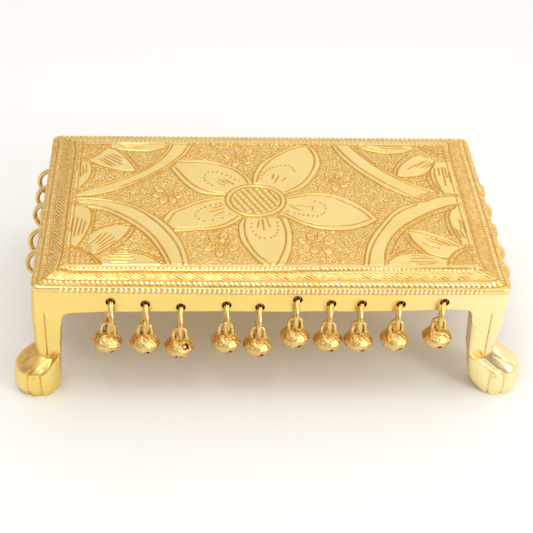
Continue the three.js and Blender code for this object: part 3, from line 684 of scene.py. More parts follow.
# Leaves and quarter discs in the four corners
CORNER_LINES = [
    [(-121.5, -5.5), (-117.8, -10.5), (-116.6, -17.5), (-117, -26), (-118.6, -35), (-121, -43.5),
     (-123.5, -50)],
    [(-117.5, -8.5), (-115, -14), (-114.4, -22), (-115.2, -33)],
    [(-117.5, -38.2), (-111, -31.8), (-103.5, -28), (-96.5, -27), (-90.5, -28.7)],
    [(-116, -35), (-109, -29.2), (-101, -25.6), (-94, -24.8)],
    [(-90.5, -29), (-92.6, -35.5), (-96.5, -42.5), (-101.5, -49), (-107, -55), (-113.5, -60)],
    [(-87.8, -29.5), (-89.8, -37), (-93.6, -45), (-98.2, -51.5), (-103, -55.5)],
    [(-108, -61), (-100, -57.5), (-91, -56.6), (-83, -58.8), (-76, -62.8), (-69.5, -69.5)],
    [(-100.5, -54.8), (-94, -53.4), (-87, -54), (-79.5, -57.2), (-73, -62), (-68, -67.5)],
    [(-130.5, -48.8), (-127.5, -49.3), (-120.5, -52.8), (-115, -58.2), (-110.8, -63.5), (-107.2, -70.3)],
    [(-130.5, -50.8), (-126, -51.8), (-119, -56.2), (-114, -62), (-110.4, -70.4)],
    [(111.2, -70.4), (113, -63.5), (116.5, -57.5), (121, -53.4), (126, -50.6), (130.8, -50)],
    [(114.6, -70.4), (116.8, -63.5), (120.5, -58), (125.4, -54.2), (130.8, -52.6)],
    [(126.8, -4.5), (122.5, -9), (120.2, -15), (119.6, -22.5), (120.3, -31), (122, -39), (124, -47)],
    [(121, -7.5), (117.6, -13.5), (116.8, -22), (117.4, -32), (118.5, -38)],
    [(91.3, -33.8), (98, -34.4), (106, -38.5), (114, -43.6), (121.5, -50.5)],
    [(92.5, -31), (100, -31.4), (108, -35.6), (116, -41.2), (123.5, -48.8)],
    [(87.6, -39.5), (89.5, -46), (93, -52), (97, -57.5)],
    [(90.3, -36), (91.8, -43), (95.6, -50.5), (100, -57), (107, -61), (112, -62.5)],
    [(74.2, -65.5), (79.5, -60.5), (87, -57.9), (96, -57.6), (104, -59.8), (110.5, -64)],
    [(77.5, -59.3), (83, -55.6), (89, -54.4), (95.5, -54.8)],
    [(-109.5, 66.8), (-104, 63.8), (-99.5, 58), (-95.5, 51), (-91.5, 43), (-89.8, 38)],
    [(-98.6, 61.5), (-94.5, 55), (-90.6, 47.5), (-87.5, 39.5)],
    [(-121.5, 48.5), (-117, 45), (-111, 41.8), (-104, 38.8), (-97.5, 37), (-90.5, 37.4)],
    [(-117, 41.6), (-110, 38.8), (-103, 36), (-96, 34.6)],
    [(-122, 47.5), (-120.2, 42), (-119.8, 36), (-120.6, 30), (-122.5, 24), (-126.5, 16.5)],
    [(-117.8, 41), (-117.4, 35), (-118.4, 28.5)],
    [(-108, 67.2), (-102, 64.6), (-95, 63.1), (-86, 62.5), (-78, 63.2), (-71, 66.5)],
    [(-130.5, 52), (-124, 53.6), (-118, 57.6), (-113, 64), (-110, 73)],
    [(-130.5, 54.4), (-125, 56), (-120, 59.8), (-115.8, 65.5), (-113.2, 73)],
    [(109.8, 73.2), (112.3, 68.6), (116, 63.6), (121, 59.6), (130.8, 57)],
    [(112.8, 73.2), (115.4, 69), (119, 65), (123.5, 61.8), (130.8, 59.8)],
    [(88.6, 37), (90.5, 43), (93.5, 49.5), (98.5, 57)],
    [(91, 34), (92.8, 40.5), (96.5, 47.5), (103, 55), (109, 59.5)],
    [(91.5, 32.5), (99, 31), (107, 32.5), (113.5, 37.5), (118.5, 45.5), (120.5, 52)],
    [(112.5, 36), (111.7, 28), (113.5, 19.5), (117.3, 11.5)],
    [(119.5, 50), (115.6, 40), (114.6, 32), (115.6, 24), (118.5, 16.5), (121, 12)],
    [(118.8, 42), (117.6, 34), (118, 25), (119.6, 17)],
    [(64.5, 73), (70, 67.5), (78, 63.5), (87, 61), (97, 61.5), (106, 66)],
    [(68, 73), (73.5, 69.5), (80.5, 66.4), (88, 64.6)],
]
CORNER_STROKES = [
    [(-125.4, -19.5), (-126.6, -40)], [(-122.6, -21), (-124.2, -39.5)], [(-120.4, -23), (-121.6, -37)],
    [(-128.2, -19), (-129.2, -35)], [(-109, -37.5), (-115.5, -48)], [(-105.8, -36.5), (-112.5, -48.5)],
    [(-102.5, -37.5), (-110.3, -48.8)], [(-100.5, -40.5), (-109.5, -51.5)], [(-99.5, -44), (-111, -55.5)],
    [(-101, -59.4), (-90, -58.9)], [(-104, -61.9), (-88, -61.6)], [(-105.5, -65), (-86.5, -64.8)],
    [(-102.5, -68.3), (-90.5, -68.2)], [(126.3, -20), (126.2, -31)], [(128.5, -21), (128.6, -35)],
    [(121.8, -30), (124.5, -41)], [(124.5, -32), (127, -41)], [(101, -41), (111, -49)],
    [(104, -40.4), (115.5, -49.8)], [(98.6, -46.5), (108.5, -52.5)], [(107.5, -41.5), (118.5, -50)],
    [(90, -60), (101, -60.5)], [(89, -63), (103, -63)], [(87.5, -66), (105, -66.5)],
    [(92, -69), (103, -68.7)],
    [(-107, 58.5), (-99.5, 52.8)], [(-109.8, 57.5), (-99.8, 48.8)], [(-112.3, 55.8), (-99, 44.6)],
    [(-113.4, 53), (-103.4, 43.2)], [(-115.3, 51.5), (-106, 42.5)], [(-128, 47.5), (-127, 29)],
    [(-124, 45), (-123.4, 34)], [(-126, 42), (-125.3, 32)], [(-129.8, 46), (-129.5, 36)],
    [(-103, 72), (-82, 71.8)], [(-102, 69.6), (-85, 68.8)], [(-99, 67.5), (-86, 66.2)],
    [(112, 51), (99.8, 41)], [(115, 52), (106, 43.5)], [(117, 50), (109, 42)], [(118.5, 48.6), (112.5, 42)],
    [(121.5, 43), (121, 33)], [(124.2, 44), (123.6, 20)], [(126.2, 43), (126, 30)],
    [(128.3, 38), (127.6, 24)],
    [(82, 70.8), (100, 70)], [(84, 68), (102, 67.4)],
]
# Polished leaves: the two lines that bound each one, or a line and the part of the panel's edge behind it
LEAVES = (
    (CORNER_LINES[0], [(-131, -5.5), (-131, -50)]), (CORNER_LINES[2], CORNER_LINES[4][::-1]),
    (CORNER_LINES[6], [(-108, -70.6), (-69.5, -70.6)]), (CORNER_LINES[12], [(131, -4.5), (131, -47)]),
    (CORNER_LINES[15], CORNER_LINES[17]), (CORNER_LINES[18], [(74.2, -70.6), (110.5, -70.6)]),
    (CORNER_LINES[20], CORNER_LINES[22]), (CORNER_LINES[24], [(-131, 47.5), (-131, 16.5)]),
    (CORNER_LINES[26], [(-108, 75.4), (-71, 75.4)]), (CORNER_LINES[32], CORNER_LINES[33]),
    (CORNER_LINES[35], [(131, 50), (131, 12)]), (CORNER_LINES[37], [(64.5, 75.4), (106, 75.4)]),
)
# Square hatching of the quarter discs: corner, and how far it runs along each side
HATCHED_CORNERS = ((-1, -1, 19.5, 17), (1, -1, 15.5, 15.5), (-1, 1, 17, 14.5), (1, 1, 15, 11))
HATCH_SPACING = 3.3

# Small flowers: centre, radius of the eye, and the directions of the petals in degrees
FLOWERS = (
    ((-67, 9.5), 3.8, (-68, -110, -20, 35, 140, 195)),
    ((-17, 55.5), 3.9, (100, 48, -52, -112, 175)),
    ((-32, -48.5), 4.1, (-98, -152, -28, 80, 128)),
    ((29.8, -46.5), 4.3, (-52, -108, 10, 68, 118, 165)),
    ((47, 26), 3.9, (-92, -38, 18, 62, 118)),
)
FLOWER_PETAL_LENGTH = 8.6
FLOWER_PETAL_WIDTH = 5.4


class Relief:
    """A height field over the panel, in mm, that chasing tools cut into."""

    def __init__(self, low, high, step):
        self.step = step
        self.x = np.linspace(low[0], high[0], int(round((high[0] - low[0]) / step)) + 1)
        self.y = np.linspace(low[1], high[1], int(round((high[1] - low[1]) / step)) + 1)
        self.gx, self.gy = np.meshgrid(self.x, self.y)
        self.cut = np.zeros_like(self.gx)
        self.patina_and_painted_light = np.zeros_like(self.gx)
        self.polished = np.zeros(self.gx.shape, bool)

    def press(self, points, width, depth, dark=0.9):
        """Presses a round tool of half-width width to a depth at each point; both may be arrays."""
        points = np.asarray(points, float).reshape(-1, 2)
        width = np.broadcast_to(np.asarray(width, float), len(points))
        depth = np.broadcast_to(np.asarray(depth, float), len(points))
        column = np.round((points[:, 0] - self.x[0]) / self.step).astype(int)
        row = np.round((points[:, 1] - self.y[0]) / self.step).astype(int)
        reach = int(math.ceil(width.max() * 1.25 / self.step)) + 1
        for i in range(-reach, reach + 1):
            for j in range(-reach, reach + 1):
                r, c = row + i, column + j
                fits = (r >= 0) & (r < len(self.y)) & (c >= 0) & (c < len(self.x))
                rr, cc = r[fits], c[fits]
                gap = np.hypot(self.x[cc] - points[fits, 0], self.y[rr] - points[fits, 1])
                share = np.clip(1 - (gap / width[fits]) ** 2, 0, 1)
                np.minimum.at(self.cut, (rr, cc), -depth[fits] * share)
                stain = np.clip(1.25 - gap / width[fits], 0, 1) * dark
                np.maximum.at(self.patina_and_painted_light, (rr, cc), stain)

    def line(self, points, width=OUTLINE_WIDTH, depth=OUTLINE_DEPTH, dark=0.9, seed=0):
        """A chased line with ends that lift out and a depth that wanders as a hand tool's does."""
        path = spline(points)
        along = np.linspace(0, 1, len(path))
        lift = smoothstep(0, 1.5, along * len(path) * 0.2) * smoothstep(0, 1.5, (1 - along) * len(path) * 0.2)
        drift = 1 + 0.28 * value_noise(path[:, 0], path[:, 1], 6.0, seed + 91)
        width = width * (0.75 + 0.25 * lift) * (0.9 + 0.1 * drift)
        self.press(path, width, depth * drift * (0.3 + 0.7 * lift), dark)

    def inside(self, outline):
        """Which grid points lie inside a closed outline."""
        outline = np.asarray(outline, float)
        low, high = outline.min(0), outline.max(0)
        columns = np.where((self.x >= low[0]) & (self.x <= high[0]))[0]
        rows = np.where((self.y >= low[1]) & (self.y <= high[1]))[0]
        mask = np.zeros(self.gx.shape, bool)
        if not len(columns) or not len(rows):
            return mask
        window = np.ix_(rows, columns)
        x, y = self.gx[window], self.gy[window]
        hit = np.zeros(x.shape, bool)
        following = np.roll(outline, -1, axis=0)
        for (x1, y1), (x2, y2) in zip(outline, following):
            if y1 == y2:
                continue
            spans = (y1 > y) != (y2 > y)
            hit ^= spans & (x < (x2 - x1) * (y - y1) / (y2 - y1) + x1)
        mask[window] = hit
        return mask

    def smooth_area(self, first, second):
        """Marks what lies between two lines as polished."""
        outline = np.vstack([spline(first, 1.5), spline(second, 1.5)[::-1]])
        self.polished |= self.inside(outline)


def draw_petal(relief, petal, seed):
    for line in petal["outer"] + petal["inner"]:
        relief.line(line, seed=seed)
    relief.smooth_area(*petal["outer"])
    for x, y in petal["dots"]:
        relief.press([(x, y - 0.4), (x, y + 0.4)], DOT_WIDTH, DOT_DEPTH)
    for stroke in petal["strokes"]:
        relief.line(stroke, STROKE_WIDTH, STROKE_DEPTH, seed=seed + 3)


def draw_disc(relief):
    centre = np.array(DISC_CENTRE)
    turn = np.linspace(0, 2 * math.pi, 25)
    main, faint = (OUTLINE_DEPTH, 0.95), (FINE_DEPTH, 0.5)
    for radii in (DISC_RADII, DISC_INNER_RADII):
        ring = [centre + (radii[0] * math.cos(a), radii[1] * math.sin(a)) for a in turn]
        relief.line(ring, seed=7)
        if radii is DISC_RADII:
            relief.polished |= relief.inside(ring)
    reach = DISC_INNER_RADII[1] - 0.8
    count = int(reach / DISC_HATCH_SPACING)
    for angle, (depth, dark) in zip(DISC_HATCH_ANGLES, (main, faint)):
        direction = np.array([math.cos(angle), math.sin(angle)])
        side = np.array([-direction[1], direction[0]])
        for k in range(-count, count + 1):
            offset = (k + 0.15) * DISC_HATCH_SPACING
            half = math.sqrt(max(0.0, reach ** 2 - offset ** 2))
            middle = centre + side * offset
            ends = [middle - direction * half, middle + direction * half]
            relief.line(ends, STROKE_WIDTH, depth, dark, seed=k + 40)


def draw_flower(relief, centre, radius, directions, seed):
    centre = np.array(centre, float)
    for size in (radius, radius * 0.52):
        ring = [centre + size * np.array([math.cos(a), math.sin(a)]) for a in np.linspace(0, 2 * math.pi, 13)]
        relief.line(ring, FINE_WIDTH, STROKE_DEPTH, seed=seed)
    relief.press([centre], DOT_WIDTH, DOT_DEPTH)
    for number, degrees in enumerate(directions):
        angle = math.radians(degrees)
        ahead = np.array([math.cos(angle), math.sin(angle)])
        side = np.array([-ahead[1], ahead[0]])
        length = FLOWER_PETAL_LENGTH * (1 + 0.18 * math.sin(number * 2.3 + seed))
        half = FLOWER_PETAL_WIDTH / 2
        root = centre + ahead * (radius + 0.4)
        tip = root + ahead * length
        edges = []
        for sign in (-1, 1):
            edge = [root + side * sign * half * 0.4, root + ahead * length * 0.35 + side * sign * half,
                    root + ahead * length * 0.72 + side * sign * half * 0.85, tip]
            relief.line(edge, FINE_WIDTH, STROKE_DEPTH, seed=seed + number)
            edges.append(edge)
        relief.smooth_area(*edges)
        for share in (-0.4, 0, 0.4):
            start = root + side * share * half + ahead * 0.8
            end = start + ahead * length * (0.55 - 0.3 * abs(share))
            relief.line([start, end], FINE_WIDTH * 0.8, FINE_DEPTH, 0.7, seed=seed + 5)


def draw_hatched_corners(relief, low, high):
    for sign_x, sign_y, *reaches in HATCHED_CORNERS:
        corner = np.array([high[0] if sign_x > 0 else low[0], high[1] if sign_y > 0 else low[1]])
        inward = np.array([-sign_x, -sign_y])
        for axis, depth, dark, first_seed in ((0, STROKE_DEPTH, 0.7, 0), (1, FINE_DEPTH, 0.5, 9)):
            for k in range(1, int(reaches[axis] / HATCH_SPACING) + 1):
                offset = k * HATCH_SPACING
                length = reaches[1 - axis] * math.sqrt(max(0.0, 1 - (offset / (reaches[axis] + 1)) ** 2))
                ends = np.array([[offset, 0.8], [offset, length]])
                ends = ends if axis == 0 else ends[:, ::-1]
                relief.line(corner + inward * ends, FINE_WIDTH, depth, dark, seed=k + first_seed)


def punch_rows(relief):
    """Rows of small punch marks beside the back left band."""
    for line, shift in ((BACK_LEFT_BAND[3], 2.2), (BACK_LEFT_BAND[0], -2.4), (FRONT_LEFT_BAND[0], -2.2)):
        path = spline(line, 2.3)
        tangent = np.gradient(path, axis=0)
        tangent /= np.linalg.norm(tangent, axis=1)[:, None]
        side = np.stack([tangent[:, 1], -tangent[:, 0]], -1)
        relief.press(path + side * shift, FINE_WIDTH, FINE_DEPTH, 0.7)


def punch_ground(relief):
    """Matting punch marks at even but unruly places over all that isn't polished."""
    random = np.random.default_rng(5)
    x, y = np.meshgrid(np.arange(relief.x[0], relief.x[-1], GROUND_DOT_SPACING),
                       np.arange(relief.y[0], relief.y[-1], GROUND_DOT_SPACING))
    x = x + random.uniform(-0.5, 0.5, x.shape) * GROUND_DOT_SPACING
    y = y + random.uniform(-0.5, 0.5, y.shape) * GROUND_DOT_SPACING
    column = np.clip(np.round((x - relief.x[0]) / relief.step).astype(int), 0, len(relief.x) - 1)
    row = np.clip(np.round((y - relief.y[0]) / relief.step).astype(int), 0, len(relief.y) - 1)
    keep = ~relief.polished[row, column]
    places = np.stack([x[keep], y[keep]], -1)
    depth = GROUND_DOT_DEPTH * random.uniform(0.45, 1.2, len(places))
    relief.press(places, GROUND_DOT_WIDTH * random.uniform(0.8, 1.3, len(places)), depth, 0.95)


def draw_ornament(relief, low, high):
    for seed, petal in enumerate(PETALS):
        draw_petal(relief, petal, seed * 11)
    draw_disc(relief)
    for band in BANDS:
        relief.smooth_area(band[0], band[3] if band is not FRONT_RIGHT_BAND else band[2][::-1])
        for seed, line in enumerate(band):
            relief.line(line, seed=seed + 60)
    for seed, line in enumerate(CORNER_LINES):
        relief.line(line, seed=seed + 70)
    for first, second in LEAVES:
        relief.smooth_area(first, second)
    for seed, stroke in enumerate(CORNER_STROKES):
        relief.line(stroke, STROKE_WIDTH, STROKE_DEPTH, seed=seed + 120)
    for seed, (centre, radius, directions) in enumerate(FLOWERS):
        draw_flower(relief, centre, radius, directions, seed * 13)
    draw_hatched_corners(relief, low, high)
    punch_rows(relief)
    punch_ground(relief)


def panel_surface(relief, low, high):
    """Height and patina over the panel: slow sway, the cuts, the matted ground, a line near the edge, and
    pale specks on the ground that are partly rubbed wear and partly a painted highlight.
    """
    x, y = relief.gx, relief.gy
    soft = relief.polished.astype(float)
    for _ in range(2):
        padded = np.pad(soft, 1, mode="edge")
        soft = sum(padded[i:i + soft.shape[0], j:j + soft.shape[1]] for i in range(3) for j in range(3)) / 9
    ground = 1 - soft
    sway = SWAY * value_noise(x, y, 46, 3) + 0.06 * value_noise(x, y, 17, 8)
    height = TOP_Z - 0.05 + sway + relief.cut - GROUND_DROP * ground
    edge = np.minimum(np.minimum(x - low[0], high[0] - x), np.minimum(y - low[1], high[1] - y))
    height -= EDGE_DROP * (1 - smoothstep(0, 1.0, edge))
    line = np.clip(1 - ((edge - FRAME_LINE_INSET) / FRAME_LINE_HALF) ** 2, 0, 1)
    line = line * (0.35 + 0.65 * (y > low[1] + 5))
    height -= EDGE_DROP * line
    height += GROUND_ROUGH * ground * value_noise(x, y, 1.3, 33)
    matt = 0.5 + 0.5 * value_noise(x, y, 1.7, 21)
    patina_and_painted_light = np.maximum.reduce([relief.patina_and_painted_light, 0.75 * line, (0.05 + 0.2 * matt) * ground])
    # Raised specks of the ground go pale: partly rubbed wear, partly a painted highlight
    raised = np.clip(value_noise(x, y, 1.1, 44) - 0.25, 0, 1) * ground
    rub_highlight_spots = (relief.patina_and_painted_light < 0.1) & (raised > 0.02)
    return height, np.where(rub_highlight_spots, -np.clip(raised * 1.6, 0, 0.7), patina_and_painted_light)


def make_panel():
    high = np.array([HALF_LENGTH - SIDE_BORDER, HALF_WIDTH - FRONT_BORDER])
    low, high = -high - ORNAMENT_ORIGIN, high - ORNAMENT_ORIGIN
    relief = Relief(low, high, PANEL_STEP_SIZE)
    draw_ornament(relief, low, high)
    height, patina_and_painted_light = panel_surface(relief, low, high)
    slope_y, slope_x = np.gradient(height, relief.step)
    normals = np.stack([-slope_x, -slope_y, np.ones_like(height)], -1)
    normals /= np.linalg.norm(normals, axis=-1)[..., None]
    surface = np.stack([relief.gx + ORNAMENT_ORIGIN[0], relief.gy + ORNAMENT_ORIGIN[1], height], -1)
    cuts = np.linspace(0, len(relief.x) - 1, len(PANEL_NAMES) + 1).astype(int)
    for name, first, last in zip(PANEL_NAMES, cuts[:-1], cuts[1:]):
        parts = [values[:, first:last + 1] for values in (surface, normals, patina_and_painted_light)]
        points, normal, stain = (np.concatenate([part[:1], part, part[-1:]]) for part in parts)
        points[[0, -1], :, 2] -= SKIRT
        mesh = build_mesh(name, points, grid_faces(*points.shape[:2]), patina_and_painted_light=stain, normals=normal)
        add_piece(name, mesh, chased_brass, TABLE_BODY, "top_plate")


# The body of the plate under the panel and border

# How far in from the rim's edge, and how high, the rim turns into the wall and the wall into the panel's back
UNDERSIDE_SECTIONS = ((1.0, RIM_Z + 1.2), (0.5, RIM_Z + 0.3), (1.2, RIM_Z), (6, RIM_Z), (16.5, TOP_Z - 4))
WALL_RADIUS = 2


def rounded_rectangle(half_x, half_y, radius, z, steps=8):
    points = []
    for corner, (sign_x, sign_y) in enumerate(((1, 1), (-1, 1), (-1, -1), (1, -1))):
        for step in range(steps + 1):
            angle = (corner + step / steps) * math.pi / 2
            points.append((sign_x * (half_x - radius) + radius * math.cos(angle),
                           sign_y * (half_y - radius) + radius * math.sin(angle), z))
    return points


def make_underside():
    """The hollow underside: a rim, sloping walls and the back of the panel."""
    points = np.array([
        rounded_rectangle(HALF_LENGTH - inset, HALF_WIDTH - inset, max(CORNER_RADIUS - inset, WALL_RADIUS), z)
        for inset, z in UNDERSIDE_SECTIONS])
    rows, count = points.shape[:2]
    faces = grid_faces(rows, count, wrap=True, flip=True).tolist()
    faces.append([(rows - 1) * count + i for i in range(count)][::-1])
    mesh = build_mesh("underside", points, faces, smooth=False)
    add_piece("underside", mesh, polished_brass, TABLE_BODY, "top_plate")


# Aprons

HOLE_RADIUS = 2.75
HOLE_SIDES = 28
HOLE_RISE = 0.35
# Painted shade: faces of a hole's bore, out to this far past its radius, get the near-black material
HOLE_SHADE_REACH = 0.5
# Painted shade rings in the holes: half their thickness, and their bore
HOLE_SHADE_HALF = 0.25
HOLE_SHADE_BORE = 2.05
APRON_BEVEL = 0.45
APRON_PROUD = 0.02
FILLET = 5
FILLET_STEPS = 10
LEG_OVERLAP = 5
EDGE_WAVE = 0.3
EDGE_WAVE_SIZE = 13
EDGE_STEP = 3
APRON_ENDS = {"apron_front": (-132.2, 127.6)}
# Where along the front apron its lower edge was filed high or low, and how high it is there
APRON_EDGES = {"apron_front": ((-133, -122, -95, 60, 92, 128), (-1.6, -1.0, 0, 0, 0.9, 1.4))}
WELD = 0.00002
# From an apron's own plane, along and up, to the model's frame, for aprons along X and along Y
APRON_TURNS = (((1, 0, 0), (0, 0, -1), (0, 1, 0)), ((0, 0, 1), (1, 0, 0), (0, 1, 0)))


def apron_outline(start, end, high, low, rises, seed):
    """The apron's outline in its own plane: along, up. Its lower corners are filleted into the legs."""
    points = []
    for side, edge in ((-1, start), (1, end)):
        corner = low + float(drop_at(rises, edge))
        part = [(edge + side * LEG_OVERLAP, high), (edge + side * LEG_OVERLAP, corner - FILLET - 8),
                (edge + side * 1.4, corner - FILLET - 8), (edge + side * 0.5, corner - FILLET - 4)]
        for angle in np.linspace(0, math.pi / 2, FILLET_STEPS):
            inward = side * FILLET * (1 - math.cos(angle))
            part.append((edge - inward, corner - FILLET + FILLET * math.sin(angle)))
        points += part[::-side]
        if side < 0:
            for along in np.arange(start + FILLET + 3, end - FILLET - 2, EDGE_STEP):
                wave = float(value_noise(np.array(along), np.array(0.0), EDGE_WAVE_SIZE, seed))
                points.append((along, low + float(drop_at(rises, along)) + EDGE_WAVE * wave))
    return points


def make_apron(name, node, along_axis, holes, seed):
    """An apron plate with bevelled edges and drilled holes, at the place of its solid."""
    box_low, box_high = node_box(node)
    across_axis = 1 - along_axis
    start, end = APRON_ENDS.get(node, (box_low[along_axis], box_high[along_axis]))
    thick = box_high[across_axis] - box_low[across_axis] + 2 * APRON_PROUD
    middle = (box_high[across_axis] + box_low[across_axis]) / 2
    curve = bpy.data.curves.new(name, "CURVE")
    curve.dimensions = "2D"
    curve.fill_mode = "BOTH"
    curve.extrude = (thick / 2 - APRON_BEVEL) * MM
    curve.bevel_depth = APRON_BEVEL * MM
    curve.bevel_resolution = 3
    curve.offset = -APRON_BEVEL * MM
    outlines = [apron_outline(start, end, box_high[2], box_low[2] + FILLET, APRON_EDGES.get(node), seed)]
    for along, up in holes:
        outlines.append([(along + HOLE_RADIUS * math.cos(a), up + HOLE_RADIUS * math.sin(a))
                         for a in full_turn(HOLE_SIDES)])
    for outline in outlines:
        line = curve.splines.new("POLY")
        line.points.add(len(outline) - 1)
        for point, (u, v) in zip(line.points, outline):
            point.co = (u * MM, v * MM, 0, 1)
        line.use_cyclic_u = True
    mesh = baked_mesh(bpy.data.objects.new(name + "_curve", curve))
    offset = np.zeros(3)
    offset[across_axis] = middle
    mesh.transform(moved(offset) @ Matrix(APRON_TURNS[along_axis]).to_4x4())
    mesh.name = name
    mesh.materials.clear()
    mesh.materials.append(polished_brass)
    mesh.materials.append(hole_shade_brass)
    for polygon in mesh.polygons:
        polygon.use_smooth = True
        place = np.array(polygon.center) / MM
        in_hole = any(math.hypot(place[along_axis] - along, place[2] - up) < HOLE_RADIUS + HOLE_SHADE_REACH
                      for along, up in holes)
        # The bore of each hole gets the near-black material: painted shade
        polygon.material_index = int(in_hole and abs(polygon.normal[across_axis]) < 0.97)
    piece = add_piece(name, mesh, polished_brass, TABLE_BODY, node)
    piece.modifiers.new("weld", "WELD").merge_threshold = WELD
    piece.modifiers.new("normals", "WEIGHTED_NORMAL").keep_sharp = False


def make_hole_shade(name, along_axis, across, holes):
    """Painted shade inside the holes: dark rings round the wires, thick above the wire and thin below."""
    turn = full_turn(HOLE_SIDES)
    sections = ((-1, HOLE_RADIUS + 0.1, 0), (-1, HOLE_SHADE_BORE, HOLE_RISE),
                (1, HOLE_SHADE_BORE, HOLE_RISE), (1, HOLE_RADIUS + 0.1, 0))
    vertices, faces = [], []
    for number, (along, up) in enumerate(holes):
        for side, radius, drop in sections:
            ring = np.zeros((HOLE_SIDES, 3))
            ring[:, along_axis] = along + radius * np.cos(turn)
            ring[:, 1 - along_axis] = across + side * HOLE_SHADE_HALF
            ring[:, 2] = up - drop + radius * np.sin(turn)
            vertices.append(ring)
        faces.append(grid_faces(len(sections), HOLE_SIDES, wrap=True) + number * len(sections) * HOLE_SIDES)
    mesh = build_mesh(name, vertices, np.concatenate(faces))
    add_piece(name, mesh, hole_shade_brass, TABLE_BODY)


def make_aprons():
    for number, (side, axis) in enumerate((("front", 0), ("back", 0), ("left", 1), ("right", 1))):
        places = [place for name, place in joint_at.items() if f"_{side}_" in name and name.endswith("_rock")]
        holes = [(place[axis], place[2] + HOLE_RISE) for place in places]
        make_apron(f"{side}_apron", f"apron_{side}", axis, holes, number * 5 + 2)
        make_hole_shade(f"{side}_hole_shade", axis, places[0][1 - axis], holes)


# Legs: a grid of directions round the leg by heights, for the corner at +X +Y, mirrored to the others.
# Each leg was filed by hand: how far out its outer and inner faces stand at some heights

leg_high = node_box("leg_back_right")[1]
LEG_DEPTH = 13.5
ANKLE_DEPTH = 12.5
ANKLE_INSET = 0.8
ANKLE_Z = 38
LEG_OUTER = {
    "leg_front_left": ((33, 150.8), (38, 150.9), (51, 151.2), (62, 151.4), (70, 150.8), (80.4, 150.2)),
    "leg_front_right": ((33, 146.9), (41, 148), (51, 148.9), (63, 149.5), (80.4, 150)),
}
LEG_INNER = {
    "leg_front_left": ((0, 137.4), (3, 136), (7, 135.5), (25, 134.8), (40, 134.1), (64, 132.2)),
    "leg_front_right": ((0, 138), (3, 135.8), (11, 131.9), (18, 130.4), (26, 129.7), (40, 129), (52, 128.3),
                        (64, 127.6)),
}
PLAIN_OUTER = ((38, 149.2), (60, 150), (80.4, 150))
PLAIN_INNER = ((0, 136.5), (4, 134), (16, 132.8), (38, 132.2), (64, 130))
LEG_GROOVE_X = {"leg_front_left": 143.1, "leg_front_right": 140.4}
PLAIN_GROOVE_X = 142
FOOT_HALF_X = 15.4
FOOT_HALF_Y = 12.8
# Directions between the toes, in degrees from the outer side to the inner side
TOE_EDGES = {"leg_front_right": (-52, 22, 74, 122, 172)}
PLAIN_TOE_EDGES = (-52, 16, 61, 104, 158)
TOE_DEPTH = 0.16
TOE_TOP = 16.6
TOE_DOME = 1.8
TOE_TUCK = 0.14
INSTEP_FRONT = 25
INSTEP_SIDE = 34
INSTEP_BULGE = 0.7
WRINKLE = 0.3
# Two lines over the instep: the toe edge that each starts at, and how far it turns going up, in degrees
INSTEP_LINES = ((1, 29), (2, 17))
INSTEP_LINE_HALF = 0.07
INSTEP_LINE_DEPTH = 0.45
INSTEP_LINE_RANGE = (0.06, 0.14, 0.84, 0.94)
# The toes' tops stand over the instep, with a crease behind them
KNUCKLE = 0.35
TOE_STEP = 0.9
CREASE_AT = 0.07
CREASE_DEPTH = 0.3
JOINT_STAIN = 0.4
# A groove runs up each post
GROOVE_HALF = 0.4
GROOVE_DEPTH = 0.45
GROOVE_RANGE = (26, 28, 61, 66)
GROOVE_DARK = 0.8
# Sides of the leg in degrees: where each begins, is full, starts to fade and ends
WALL_SIDE = (112, 145, 215, 250)
SQUARE_SIDE = (150, 190, 258, 300)
CORNER_SIDE = (4, 22, 34, 47)
INNER_SIDE = (130, 150, 215, 235)
# How much higher the foot's rows stand on the side without toes
WALL_RISE = 7.5
TOP_RISE = 5
# How square the foot is there: added to the power of its rounded outline
SQUARENESS = 1.4
# The posts run up behind the rim's face. The left one has painted shade along its outer corner, the right one
# on its inner side, and the left foot's instep has the darkest painted shade.
LEG_RISE = 2.6
SIDE_SHADE = 0.34
INSTEP_SHADE = {"leg_front_left": 0.34, "leg_front_right": 0.04}
PLAIN_INSTEP_SHADE = 0.2
SOLE_Z = 0.3
# How far the filed sides stray
FILED = 0.12
LEG_DIRECTIONS = 288
TOE_LEVELS = 46
INSTEP_LEVELS = 60
POST_LEVELS = 44
LEG_RADII = {(1, 1): 4.2, (-1, 1): 1.3, (-1, -1): 1.0, (1, -1): 1.3}


def leg_reach(angle, half_x, half_y):
    """Distance from the middle of a rounded rectangle to its edge, in each direction."""
    ray_x, ray_y = np.cos(angle), np.sin(angle)
    with np.errstate(divide="ignore"):
        reach = np.minimum(half_x / np.abs(ray_x), half_y / np.abs(ray_y))
    for (sign_x, sign_y), radius in LEG_RADII.items():
        radius = np.minimum(np.minimum(radius, half_x), half_y)
        cx, cy = half_x - radius, half_y - radius
        x, y = ray_x * sign_x, ray_y * sign_y
        corner = (x > 0) & (y > 0) & (x * reach > cx) & (y * reach > cy)
        along = x * cx + y * cy
        inside = np.clip(along ** 2 - cx ** 2 - cy ** 2 + radius ** 2, 0, None)
        reach = np.where(corner, along + np.sqrt(inside), reach)
    return reach


def toe_shape(angle, edges):
    """How far each direction is drawn in between the toes, and the place across the toe from -1 to 1."""
    draw = np.zeros_like(angle)
    across = np.full_like(angle, 2.0)
    for low, high in zip(edges[:-1], edges[1:]):
        here = (angle >= low) & (angle <= high)
        place = 2 * (angle - low) / (high - low) - 1
        bow = 1 - np.sqrt(np.clip(1 - 0.985 * place ** 2, 0, 1))
        if low == edges[0]:
            bow = bow * smoothstep(-0.3, 0.5, place)
        if high == edges[-1]:
            bow = bow * (1 - smoothstep(-0.5, 0.3, place))
        draw = np.where(here, bow, draw)
        across = np.where(here, place, across)
    return draw, across


